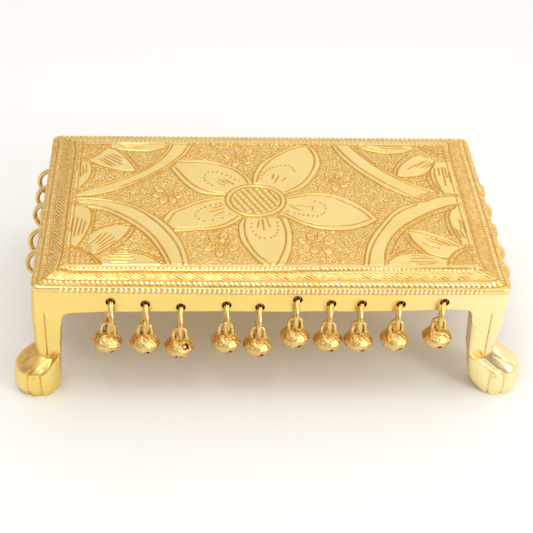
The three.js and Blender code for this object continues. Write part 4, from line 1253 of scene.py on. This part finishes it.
def window(angle, start, full, fade, end):
    """One between two angles in degrees, and zero outside them, with soft ends."""
    return band(start, full, fade, end, np.degrees(angle) % 360)


def curve_at(table, z):
    places, values = zip(*table)
    return np.interp(z, places, values)


class Leg:
    """Rows of points, and of stains and painted shade, from the floor up: the toes, the instep and the post.
    """

    def __init__(self, node):
        self.node = node
        self.outer, self.inner = LEG_OUTER.get(node, PLAIN_OUTER), LEG_INNER.get(node, PLAIN_INNER)
        self.groove_x = LEG_GROOVE_X.get(node, PLAIN_GROOVE_X)
        self.angle = angle = np.linspace(-math.pi * 0.75, math.pi * 1.25, LEG_DIRECTIONS, endpoint=False)
        self.edges = edges = [math.radians(a) for a in TOE_EDGES.get(node, PLAIN_TOE_EDGES)]
        self.draw, self.across = toe_shape(angle, edges)
        self.on_toe = self.across < 1.5
        self.fore = band(edges[0], edges[0] + 0.5, edges[-1] - 0.7, edges[-1], angle)
        inner_toe = self.on_toe & (angle > edges[-2])
        dome = np.where(inner_toe, 1 - np.minimum(self.across, 0) ** 2, 1 - self.across ** 2)
        dome = np.where(self.on_toe, dome, np.where(angle > 0, 1, 0))
        wall = window(angle, *WALL_SIDE)
        side = np.clip(np.cos(angle), 0, 1) ** 2
        self.toe_top = TOE_TOP + TOE_DOME * dome + WALL_RISE * wall
        self.top = INSTEP_FRONT + (INSTEP_SIDE - INSTEP_FRONT) * side + TOP_RISE * wall
        self.power = 2 + SQUARENESS * window(angle, *SQUARE_SIDE)
        self.rows, self.stains_and_shade = [], []

    def add_row(self, z, swell, toes, push, stain):
        """One row: swell goes from the post's outline to the foot's, and toes draws in between the toes."""
        cos, sin = np.cos(self.angle), np.sin(self.angle)
        centre_x, centre_y = leg_high[0] - FOOT_HALF_X, leg_high[1] - FOOT_HALF_Y
        up = smoothstep(ANKLE_Z, RIM_Z - 18, z)
        out_x, in_x = curve_at(self.outer, z), curve_at(self.inner, z)
        half_x = (out_x - in_x) / 2
        half_y = (ANKLE_DEPTH + (LEG_DEPTH - ANKLE_DEPTH) * up) / 2
        reach = leg_reach(self.angle, half_x, half_y)
        post_x = out_x - half_x + reach * cos
        post_y = HALF_WIDTH - ANKLE_INSET * (1 - up) - half_y + reach * sin
        foot_x = np.where(cos > 0, FOOT_HALF_X, centre_x - in_x)
        shape = np.abs(cos / foot_x) ** self.power + np.abs(sin / FOOT_HALF_Y) ** self.power
        size = shape ** (-1 / self.power) * (1 - TOE_DEPTH * self.draw * toes)
        tuck = TOE_TUCK * (1 - smoothstep(0, 10, z)) ** 2 * (0.5 + 0.5 * smoothstep(-0.5, 0, cos))
        size = size * (1 - tuck)
        x = post_x + (centre_x + size * cos - post_x) * swell + push * cos
        y = post_y + (centre_y + size * sin - post_y) * swell + push * sin
        front = (post_y > HALF_WIDTH - 1.8) & (cos < 0.95) & (swell == 0)
        mark = ridge(x - self.groove_x, GROOVE_HALF) * front
        mark = mark * band(*GROOVE_RANGE, z)
        self.rows.append(np.stack([x, y - GROOVE_DEPTH * mark, z], -1))
        self.stains_and_shade.append(np.maximum(stain, GROOVE_DARK * mark))

    def add_toes(self):
        valley = np.clip((self.draw - 0.5) / 0.5, 0, 1) ** 1.5
        for share in np.linspace(0, 1, TOE_LEVELS, endpoint=False):
            knuckle = KNUCKLE * math.sin(math.pi * min(share / 0.85, 1))
            knuckle = knuckle - TOE_STEP * smoothstep(0.8, 1, share)
            self.add_row(share * self.toe_top, 1.0, 1.0, knuckle * self.fore, 0.9 * valley * self.on_toe)

    def add_instep(self):
        angle, fore = self.angle, self.fore
        side = smoothstep(0.2, 0.8, np.cos(angle))
        darker = INSTEP_SHADE.get(self.node, PLAIN_INSTEP_SHADE)
        crown = 1 + 0.5 * np.cos(np.clip(self.across, -1, 1) * math.pi / 2)
        for rise in np.linspace(0, 1, INSTEP_LEVELS, endpoint=False):
            crease = ridge(rise - CREASE_AT, 0.06)
            joint = ridge(rise - 1, 0.05)
            lines = np.zeros_like(angle)
            for number, turn in INSTEP_LINES:
                edge = self.edges[number] + math.radians(turn) * rise
                lines = np.maximum(lines, ridge(angle - edge, INSTEP_LINE_HALF))
            lines = lines * band(*INSTEP_LINE_RANGE, rise)
            wrinkle = WRINKLE * value_noise(np.degrees(angle) * 0.3, 0 * angle + rise * 14, 3.2, 61)
            arch = math.sin(math.pi * rise)
            push = -TOE_STEP * (1 - smoothstep(0, 0.12, rise)) - CREASE_DEPTH * crease
            bulge = INSTEP_BULGE * arch * crown + wrinkle * arch
            push = push * fore - INSTEP_LINE_DEPTH * lines + bulge * fore
            # The outer side and the instep are darkened as painted shade, most on the left foot; creases,
            # joints and lines keep their stain
            stain = np.maximum.reduce([
                JOINT_STAIN * crease * fore, 0.7 * lines, JOINT_STAIN * joint * fore,
                (0.3 + darker) * side * (0.4 + 0.6 * rise) * fore, darker * (1 - np.abs(wrinkle) * 2.5) * fore,
            ])
            z = self.toe_top + (self.top - self.toe_top) * rise
            self.add_row(z, 1 - rise ** 1.15, (1 - rise) ** 1.8, push, stain)

    def add_post(self):
        # Painted shade: the left post's outer front corner and the right post's inner side are darker
        corner = SIDE_SHADE * window(self.angle, *CORNER_SIDE) * (self.node == "leg_front_left")
        inner_side = SIDE_SHADE * window(self.angle, *INNER_SIDE) * (self.node == "leg_front_right")
        for share in np.linspace(0, 1, POST_LEVELS):
            stain = np.maximum.reduce([JOINT_STAIN * ridge(share, 0.03) * self.fore, corner, inner_side])
            z = self.top + (RIM_Z + LEG_RISE - self.top) * share
            self.add_row(z, 0.0, 0.0, 0 * self.angle, stain)


def leg_points(node):
    leg = Leg(node)
    leg.add_toes()
    leg.add_instep()
    leg.add_post()
    return np.array(leg.rows), np.array(leg.stains_and_shade)


def make_legs():
    for node, sign_x, sign_y in (("leg_front_left", -1, -1), ("leg_front_right", 1, -1),
                                 ("leg_back_left", -1, 1), ("leg_back_right", 1, 1)):
        points, stains_and_shade = leg_points(node)
        levels, count = stains_and_shade.shape
        middle = points[0].mean(0)
        rough = FILED * value_noise(points[..., 2], points[..., 1], 14, int(7 + sign_x + 3 * sign_y))
        x = points[..., 0] + rough * (points[..., 2] < 60)
        shown = np.stack([x * sign_x, points[..., 1] * sign_y, points[..., 2]], -1)
        flip = sign_x * sign_y < 0
        vertices = np.vstack([shown.reshape(-1, 3), [[middle[0] * sign_x, middle[1] * sign_y, SOLE_Z]]])
        sole = np.array([(levels * count, (i + 1) % count, i) for i in range(count)])
        sole = sole[:, [0, 2, 1]] if flip else sole
        faces = grid_faces(levels, count, wrap=True, flip=flip).tolist() + sole.tolist()
        stains_and_shade = np.append(stains_and_shade.ravel(), 0)
        mesh = build_mesh(node.replace("leg_", "") + "_leg", vertices, faces, patina_and_painted_light=stains_and_shade)
        add_piece(mesh.name, mesh, polished_brass, TABLE_BODY, node)


# Rings: a rod bent round with its ends lapped side by side

WIRE_RADIUS = 1.7
RING_STEPS = 80
WIRE_STEPS = 16
LAP_ANGLE = 0.7
LAP_SHIFT = 1.15
LAP_SHARE = 0.16
LAP_TAPER = 0.27


def ring_mesh(name, radius, lap_at, seed):
    """A ring upright in the YZ plane; lap_at is the angle of the lap, from +Y towards +Z."""
    t = np.linspace(0, 1, RING_STEPS)
    angle = lap_at + LAP_ANGLE / 2 + t * (2 * math.pi)
    start, end = 1 - smoothstep(0, LAP_SHARE, t), smoothstep(1 - LAP_SHARE, 1, t)
    angle = angle + LAP_ANGLE / 2 * (end - start)
    wire = WIRE_RADIUS * (1 + 0.06 * value_noise(t * 40, t * 0, 4, seed)) * (1 - LAP_TAPER * (start + end))
    tip = np.clip(np.minimum(t, 1 - t) / 0.012, 0, 1) ** 0.5
    around = full_turn(WIRE_STEPS)
    out = np.stack([np.zeros_like(angle), np.cos(angle), np.sin(angle)], -1)
    centre = out * radius + (LAP_SHIFT * (end - start))[:, None] * X_AXIS
    r = (wire * (0.35 + 0.65 * tip))[:, None, None]
    points = centre[:, None] + r * (np.cos(around)[None, :, None] * out[:, None]
                                    + np.sin(around)[None, :, None] * X_AXIS)
    faces = grid_faces(RING_STEPS, WIRE_STEPS, wrap=True, flip=True).tolist()
    first = list(range(WIRE_STEPS))
    faces += [first, [(RING_STEPS - 1) * WIRE_STEPS + i for i in first][::-1]]
    # The lap is stained; the side of the wire towards -X, the left on the front rings, is painted darker as
    # shade
    stain = 0.25 * np.clip(start + end, 0, 1)[:, None] + 0.15 * (np.sin(around) < -0.3)[None]
    return build_mesh(name, points, faces, patina_and_painted_light=stain)


# Bells

BELL_RADIUS = 9.55
BELL_SEAT = 7.5
BELL_LOW = -8.3
RIDGE_Z = 0.3
CROWN_Z = 7.3
SHELL = 0.9
INSIDE_DARKENING = 0.85
SLIT_HALF_WIDTH = 0.9
SLIT_END_RADIUS = 2.0
SLIT_END_AT = 7.05
SLIT_END_SHARE = 0.45
RIM_START = 9.25
BELL_COLUMNS = 96
PLAIN_COLUMNS = 64
# Shares past the mouth's skin at which rows go over to the ridge, and the radii of the rows above it
RIM_SHARES = (1.35, 1.7, 2.0)
UPPER_RIM = (9.52, 8.8, 6)
UPPER_SKIN = (8.6, 0.3)
# Power and root of the domes below and above the ridge
LOWER_DOME = (1.95, 0.55)
UPPER_DOME = (1.8, 0.66)
# Chasing: cut spokes on the upper half, scallops on the lower, and where each begins, is full, fades and ends
SPOKES = 15
SCALLOPS = 9
SPOKE_RANGE = (0.9, 1.9, 5.4, 6.2)
SCALLOP_RANGE = (-7.4, -6.2, -2.2, -1.4)
SPOKE_DEPTH = 0.28
CUT_HALF = 0.3
CUT_DEPTH = 0.14
RIDGE_HEIGHT = 0.16
RIDGE_HALF = 0.5
CAST_ROUGH = 0.17
# Keeps the noise of the two halves unlike
NOISE_APART = 30
EYE_LINE = ((-4.3, 4.6), (-4.2, 7.8), (-4.0, 10.0), (-3.4, 12.0), (-2.2, 13.05), (0, 13.45), (2.2, 13.05),
            (3.4, 12.0), (4.0, 10.0), (4.2, 7.8), (4.3, 4.6))
EYE_MIDDLE = 9.5
EYE_BAR = 1.12
EYE_THICK = 1.6
EYE_SIDES = 14
FLAW_AT = (3.2, -6.4, 2.9)
FLAW_RADIUS = 1.9
FLAW_STAIN_RADIUS = 3.4
PELLET_RADIUS = 2.9
PELLET_ROWS = 12
PELLET_COLUMNS = 20


def dome_height(radius, power, root):
    """Height of a dome of height one over a place at some radius."""
    share = np.clip(radius / BELL_RADIUS, 0, 1)
    return np.clip(1 - share ** power, 0, 1) ** root


def slit_outline(turn):
    """Points round the slit underneath, which ends in two round holes."""
    fold = np.arctan2(np.abs(np.sin(turn)), np.abs(np.cos(turn))) / (math.pi / 2)
    last = math.pi - math.asin(SLIT_HALF_WIDTH / SLIT_END_RADIUS)
    phi = np.clip(fold / SLIT_END_SHARE, 0, 1) * last
    join_x = SLIT_END_AT + SLIT_END_RADIUS * math.cos(last)
    x = np.where(fold < SLIT_END_SHARE, SLIT_END_AT + SLIT_END_RADIUS * np.cos(phi),
                 join_x * (1 - (fold - SLIT_END_SHARE) / (1 - SLIT_END_SHARE)))
    y = np.where(fold < SLIT_END_SHARE, SLIT_END_RADIUS * np.sin(phi), SLIT_HALF_WIDTH)
    return x * np.sign(np.cos(turn)), y * np.sign(np.sin(turn))


def bell_rows(slit_angle, columns):
    """Rows of points of the smooth outer skin, from the slit's edge over the ridge to the crown."""
    turn = (np.arange(columns) + 0.5) / columns * 2 * math.pi
    slit_x, slit_y = slit_outline(turn)
    rows = []
    for share in np.concatenate([np.linspace(0, 1, int(columns * 0.3)), RIM_SHARES]):
        far = RIM_START if share <= 1 else RIM_START + (BELL_RADIUS - RIM_START) * (share - 1)
        near = min(share, 1)
        x = slit_x + (far * np.cos(turn) - slit_x) * near
        y = slit_y + (far * np.sin(turn) - slit_y) * near
        z = RIDGE_Z + (BELL_LOW - RIDGE_Z) * dome_height(np.hypot(x, y), *LOWER_DOME)
        rows.append(np.stack([x, y, z], -1))
    for r in np.concatenate([np.linspace(*UPPER_RIM), np.linspace(*UPPER_SKIN, int(columns * 0.32))]):
        z = RIDGE_Z + (CROWN_Z - RIDGE_Z) * dome_height(np.array(r), *UPPER_DOME)
        rows.append(np.stack([r * np.cos(turn), r * np.sin(turn), np.full_like(turn, z)], -1))
    spin = np.array([[math.cos(slit_angle), -math.sin(slit_angle), 0],
                     [math.sin(slit_angle), math.cos(slit_angle), 0], [0, 0, 1]])
    return np.array(rows) @ spin.T


def bell_skin(seed, slit_angle, columns, flaw):
    """The outer skin with its chasing, stains and painted shade, and which of its points a casting flaw
    leaves.
    """
    points = bell_rows(slit_angle, columns)
    azimuth = np.arctan2(points[..., 1], points[..., 0])
    z = points[..., 2]
    flat_x, flat_y = points[..., 0] + NOISE_APART * (z > RIDGE_Z), points[..., 1]
    rough = value_noise(flat_x, flat_y + z * 0.7, 1.5, seed)
    rough = rough + 0.7 * value_noise(flat_x, flat_y + z * 0.7, 0.7, seed + 4)
    above = z - RIDGE_Z
    upper = band(*SPOKE_RANGE, above)
    wander = 2.2 * value_noise(azimuth * 5, z, 2.2, seed + 7)
    spokes = np.clip(np.sin(azimuth * SPOKES + 1.5 * above + wander), 0, 1)
    spokes = spokes ** 2.5 * (0.55 + 0.45 * value_noise(azimuth * 4, z * 1.5, 1.6, seed + 8))
    collar = 0.35 * ridge(above - 0.7, CUT_HALF) + 0.6 * ridge(above + 1.0, CUT_HALF)
    under = band(*SCALLOP_RANGE, above)
    arc = above + 3.0 + 0.9 * np.cos(azimuth * SCALLOPS)
    scallop = (ridge(arc, CUT_HALF) + ridge(arc + 1.6, CUT_HALF)) * under
    push = CAST_ROUGH * rough - SPOKE_DEPTH * spokes * upper - CUT_DEPTH * collar - CUT_DEPTH * scallop
    push = push + RIDGE_HEIGHT * ridge(above, RIDGE_HALF)
    depth = np.arange(points.shape[0])[:, None]
    push = push * np.clip(depth / 4, 0, 1)
    points[..., 0] += push * np.cos(azimuth)
    points[..., 1] += push * np.sin(azimuth)
    points[..., 2] += push * np.sign(above) * 0.5
    # Painted shade: the upper half is darker on the side towards -X, which is the left on the front bells
    left = smoothstep(0.1, 0.95, -np.cos(azimuth))
    stain = np.clip(0.75 * spokes * upper + 0.3 * collar + 0.25 * scallop
                    + 0.45 * left * smoothstep(-0.6, 0.6, above) + 0.3 * np.clip(-rough - 0.1, 0, 1), 0, 1)
    stain[:2] = 0.9
    keep = np.ones(points.shape[:2], bool)
    if flaw:
        gap = np.linalg.norm(points - np.array(FLAW_AT), axis=-1)
        keep = gap > FLAW_RADIUS + 0.7 * value_noise(points[..., 0] * 2, points[..., 2] * 2, 1.5, 77)
        stain = np.maximum(stain, 0.9 * np.clip((FLAW_STAIN_RADIUS - gap) / 1.2, 0, 1))
    return points, stain, keep


def square_off(value):
    """Takes the sine or cosine of a round section towards that of a square one."""
    return np.sign(value) * np.abs(value) ** 0.6


def eye_points():
    """The cast eye: a flattened bar that springs from the crown, arches over and comes down again."""
    line = spline(EYE_LINE, 0.8)
    path = np.stack([line[:, 0], 0 * line[:, 0], line[:, 1]], -1)
    tangent = np.gradient(path, axis=0)
    tangent /= np.linalg.norm(tangent, axis=1)[:, None]
    across = np.stack([tangent[:, 2], 0 * line[:, 0], -tangent[:, 0]], -1)
    flare = 1 + 0.35 * np.clip((8.4 - line[:, 1]) / 2.5, 0, 1)
    around = full_turn(EYE_SIDES)
    wide = (EYE_BAR * flare)[:, None, None] * square_off(np.cos(around))[None, :, None] * across[:, None]
    thick = (EYE_THICK * flare)[:, None, None] * square_off(np.sin(around))[None, :, None] * Y_AXIS
    return path[:, None] + wide + thick


def bell_shell(name, seed, slit_angle, columns, flaw):
    """Vertices in mm, faces, and stains with painted shade, of the bell's wall, which has an inner and an
    outer skin.
    """
    points, stain, keep = bell_skin(seed, slit_angle, columns, flaw)
    rows = points.shape[0]
    quads = grid_faces(rows, columns, wrap=True)
    quads = quads[keep.ravel()[quads].all(1)]
    used, inverse = np.unique(quads, return_inverse=True)
    faces = inverse.reshape(quads.shape).tolist()
    top = [i for i, v in enumerate(used) if v >= (rows - 1) * columns]
    if len(top) == columns:
        faces.append(top)
    skin = build_mesh(name + "_skin", points.reshape(-1, 3)[used], faces, patina_and_painted_light=stain.ravel()[used])
    holder = bpy.data.objects.new(name + "_skin", skin)
    wall = holder.modifiers.new("wall", "SOLIDIFY")
    wall.thickness = SHELL * MM
    wall.offset = -1
    wall.use_rim = True
    mesh = baked_mesh(holder)
    place = np.zeros(len(mesh.vertices) * 3)
    mesh.vertices.foreach_get("co", place)
    stain_and_shade_values = np.zeros(len(mesh.vertices), np.float32)
    mesh.attributes["patina_and_painted_light"].data.foreach_get("value", stain_and_shade_values)
    # The inner skin is made dark
    stain_and_shade_values[len(used):] = INSIDE_DARKENING
    walls = [list(polygon.vertices) for polygon in mesh.polygons]
    bpy.data.meshes.remove(mesh)
    return place.reshape(-1, 3) / MM, walls, stain_and_shade_values


def bell_mesh(name, seed, slit_angle, columns=BELL_COLUMNS, flaw=False):
    shell, walls, stain = bell_shell(name, seed, slit_angle, columns, flaw)
    eye = eye_points()
    eye_faces = (grid_faces(*eye.shape[:2], wrap=True) + len(shell)).tolist()
    eye_stain = 0.06 + 0.25 * (eye[..., 2] < CROWN_Z + 0.4)
    mesh = build_mesh(name, np.vstack([shell, eye.reshape(-1, 3)]), walls + eye_faces,
                      patina_and_painted_light=np.concatenate([stain, eye_stain.ravel()]))
    mesh.materials.append(bell_brass)
    mesh.materials.append(eye_shade_brass)
    middle = Vector((0, 0, EYE_MIDDLE * MM))
    # The eye's inward faces get the dim eye material: painted shade inside the eye
    for polygon in mesh.polygons[len(walls):]:
        inward = (middle - polygon.center).normalized()
        polygon.material_index = int(polygon.normal.dot(inward) > 0.35)
    return mesh


def pellet_mesh():
    """A lumpy cast pellet."""
    turn = full_turn(PELLET_COLUMNS)
    rows = []
    for tilt in np.linspace(-math.pi / 2 + 0.08, math.pi / 2 - 0.08, PELLET_ROWS):
        lump = 1 + 0.08 * value_noise(turn * 2.1, tilt * 2 + 0 * turn, 1.0, 15)
        rows.append(np.stack([PELLET_RADIUS * lump * math.cos(tilt) * np.cos(turn),
                              PELLET_RADIUS * lump * math.cos(tilt) * np.sin(turn),
                              PELLET_RADIUS * math.sin(tilt) + 0 * turn], -1))
    first = list(range(PELLET_COLUMNS))
    faces = grid_faces(PELLET_ROWS, PELLET_COLUMNS, wrap=True).tolist()
    faces += [first[::-1], [(PELLET_ROWS - 1) * PELLET_COLUMNS + i for i in first]]
    return build_mesh("pellet", rows, faces)


# Where each front ring's lap sits, in degrees from the back over the top, how the ring and the bell are
# turned about the vertical, and which way the bell's slit runs
FRONT_LAPS = (166, 158, 202, 158, 215, 235, 206, 214, 190, 196)
FRONT_RING_YAWS = (7, 5, 0, 1, -2, -5, -7, -8, -12, -14)
FRONT_YAWS = (-6, 2, 5, 0, -4, 8, -3, 6, 11, 9)
SLIT_TURNS = (-57, -70, -80, -92)
FRONT_SLITS = (0, 2, 3, 1, 1, 2, 1, 2, 2, 3)
# Some front rings hang askew, and the front bells show their mouths a little, in degrees
FRONT_LEANS = {1: 5.6, 2: 1.8, 3: 2.0, 4: 0.3, 5: 1.0, 6: 0.9, 7: 1.0, 8: 0.3, 9: 2.6, 10: 3.3}
BELL_TIP = 7
# How far each front bell hangs below the others, in mm
FRONT_SAGS = (0, -0.4, 0.8, 0.8, 1.2, 1.8, 0.9, 1.2, 1.9, 1.3)
# Height over a bell's middle at which the wire runs through its eye
WIRE_IN_EYE = 9.6
SIDE_LAPS = (160, 205, 190, 150, 215)
SIDE_YAWS = (6, -4, 3, -7, 2)


# How many rings each side has, and which way they face, in degrees
SIDES = {"front": (10, 0), "left": (5, -90), "right": (5, 90), "back": (10, 180)}
FLAWED_BELL = 3


def hang(side, k, facing, bell_form, pellet):
    """Hangs a ring, its bell and the bell's pellet in hole k of a side."""
    front = side == "front"
    ring_node = f"ring_and_bell_back_{k}" if side == "back" else f"ring_{side}_{k}"
    bell_node = ring_node if side == "back" else f"bell_{side}_{k}"
    if front:
        lap, ring_yaw, yaw = FRONT_LAPS[k - 1], FRONT_RING_YAWS[k - 1], FRONT_YAWS[k - 1]
        sag, lean, tip = FRONT_SAGS[k - 1], FRONT_LEANS[k], BELL_TIP
    else:
        lap, ring_yaw, yaw = SIDE_LAPS[k % 5], SIDE_YAWS[k % 5], SIDE_YAWS[(k + 2) % 5]
        sag, lean, tip = 0, 0, 0
    pivot = joint_at[f"{ring_node}_rock"]
    bell_z = node_box(bell_node)[0][2] + BELL_SEAT - sag
    radius = (pivot[2] - bell_z - WIRE_IN_EYE) / 2
    askew = moved(pivot) @ turned(lean, "Y") @ moved(-pivot)
    name = f"{side}_ring_{k}"
    place = askew @ moved(pivot - (0, 0, radius)) @ turned(facing + ring_yaw, "Z")
    mesh = ring_mesh(name, radius, math.radians(lap), k * 3 + len(side))
    add_piece(name, mesh, wire_brass, ring_node, ring_node, place)
    place = askew @ moved((pivot[0], pivot[1], bell_z)) @ turned(facing + yaw, "Z") @ turned(-tip, "X")
    add_piece(f"{side}_bell_{k}", bell_form, bell_brass, bell_node, bell_node, place)
    low = (0.9 * math.cos(k), 0.9 * math.sin(k), BELL_LOW + SHELL + PELLET_RADIUS + 0.45)
    if front and k == FLAWED_BELL:
        low = np.array(FLAW_AT) * (0.62, 0.62, 0.3)
    add_piece(f"{side}_pellet_{k}", pellet, pellet_brass, bell_node, place=place @ moved(low))


def make_bells():
    pellet = pellet_mesh()
    slit = [bell_mesh(f"bell_form_{i}", 31 * i + 5, math.radians(turn)) for i, turn in enumerate(SLIT_TURNS)]
    plain = [bell_mesh(f"bell_plain_{i}", 41 * i + 3, math.radians(-40 - 45 * i), columns=PLAIN_COLUMNS)
             for i in range(3)]
    flawed = bell_mesh("bell_flawed", 97, math.radians(-100), flaw=True)
    for side, (count, facing) in SIDES.items():
        for k in range(1, count + 1):
            form = slit[FRONT_SLITS[k - 1]] if side == "front" else plain[k % 3]
            hang(side, k, facing, flawed if side == "front" and k == FLAWED_BELL else form, pellet)


# Room: pale floor, soft light, and the camera at the photograph's angle

CAMERA_AT = (-51.16, -733.16, 591.13)
CAMERA_PITCH = math.radians(37.2)
CAMERA_YAW = math.radians(4.09)
CAMERA_ROLL = math.radians(2.59)
SENSOR = 36
# The photograph's focal length and width, in its own pixels
FOCAL_PIXELS = 1322.02
PHOTO_PIXELS = 533
FLOOR_HALF = 3.0
# Each lamp: where it is and what it aims at in metres, its size, and its power
LAMPS = {
    "right_window": ((0.85, -0.75, 0.55), (0, 0, 0.05), (0.35, 0.35), 4),
    "top_bank": ((-0.25, -0.15, 1.3), (0, 0, 0.05), (0.7, 0.5), 3.5),
}


def make_camera():
    ahead = (math.sin(CAMERA_YAW) * math.cos(CAMERA_PITCH), math.cos(CAMERA_YAW) * math.cos(CAMERA_PITCH))
    forward = Vector((*ahead, -math.sin(CAMERA_PITCH)))
    right = Vector((math.cos(CAMERA_YAW), -math.sin(CAMERA_YAW), 0))
    up = right.cross(forward)
    right, up = (right * math.cos(CAMERA_ROLL) + up * math.sin(CAMERA_ROLL),
                 up * math.cos(CAMERA_ROLL) - right * math.sin(CAMERA_ROLL))
    data = bpy.data.cameras.new("camera")
    data.sensor_fit = "HORIZONTAL"
    data.sensor_width = SENSOR
    data.lens = SENSOR * FOCAL_PIXELS / PHOTO_PIXELS
    data.clip_start = 0.01
    camera = bpy.data.objects.new("camera", data)
    bpy.context.scene.collection.objects.link(camera)
    camera.matrix_world = moved(CAMERA_AT) @ Matrix((right, up, -forward)).transposed().to_4x4()
    bpy.context.scene.camera = camera


def make_floor():
    mesh = bpy.data.meshes.new("floor")
    corners = [(x * FLOOR_HALF, y * FLOOR_HALF, 0) for x, y in ((-1, -1), (1, -1), (1, 1), (-1, 1))]
    mesh.from_pydata(corners, [], [(0, 1, 2, 3)])
    floor = bpy.data.objects.new("floor", mesh)
    bpy.context.scene.collection.objects.link(floor)
    paint = bpy.data.materials.new("floor")
    paint.use_nodes = True
    set_inputs(paint.node_tree, paint.node_tree.nodes["Principled BSDF"],
               {"Base Color": (0.88, 0.87, 0.85, 1), "Roughness": 0.7})
    mesh.materials.append(paint)


def make_sky():
    """A studio that is brighter to the right and overhead, and dim in front below."""
    world = bpy.data.worlds.new("studio")
    bpy.context.scene.world = world
    world.use_nodes = True
    tree = world.node_tree
    place = add_node(tree, "ShaderNodeTexCoord", {})["Generated"]
    part = add_node(tree, "ShaderNodeSeparateXYZ", {"Vector": place})
    across = map_range(tree, part["X"], -0.8, 0.7, 0.72, 1.2, "SMOOTHSTEP")
    ahead = map_range(tree, part["Y"], -1.0, -0.2, 0.45, 1.0, "SMOOTHSTEP")
    above = map_range(tree, part["Z"], 0.1, 0.7, 0.0, 1.0, "SMOOTHSTEP")
    strength = combine(tree, "MULTIPLY", across, combine(tree, "MAXIMUM", ahead, above))
    set_inputs(tree, tree.nodes["Background"], {"Color": (1, 0.985, 0.96, 1), "Strength": strength})


def make_lamps():
    for name, (place, aim, size, power) in LAMPS.items():
        data = bpy.data.lights.new(name, "AREA")
        data.shape = "RECTANGLE"
        data.size, data.size_y = size
        data.energy = power
        light = bpy.data.objects.new(name, data)
        bpy.context.scene.collection.objects.link(light)
        light.location = place
        light.rotation_euler = (Vector(aim) - Vector(place)).to_track_quat("-Z", "Y").to_euler()


make_camera()
make_floor()
make_sky()
make_lamps()
make_border()
make_panel()
make_underside()
make_aprons()
make_legs()
make_bells()

view = bpy.context.scene.view_settings
view.view_transform = "Standard"
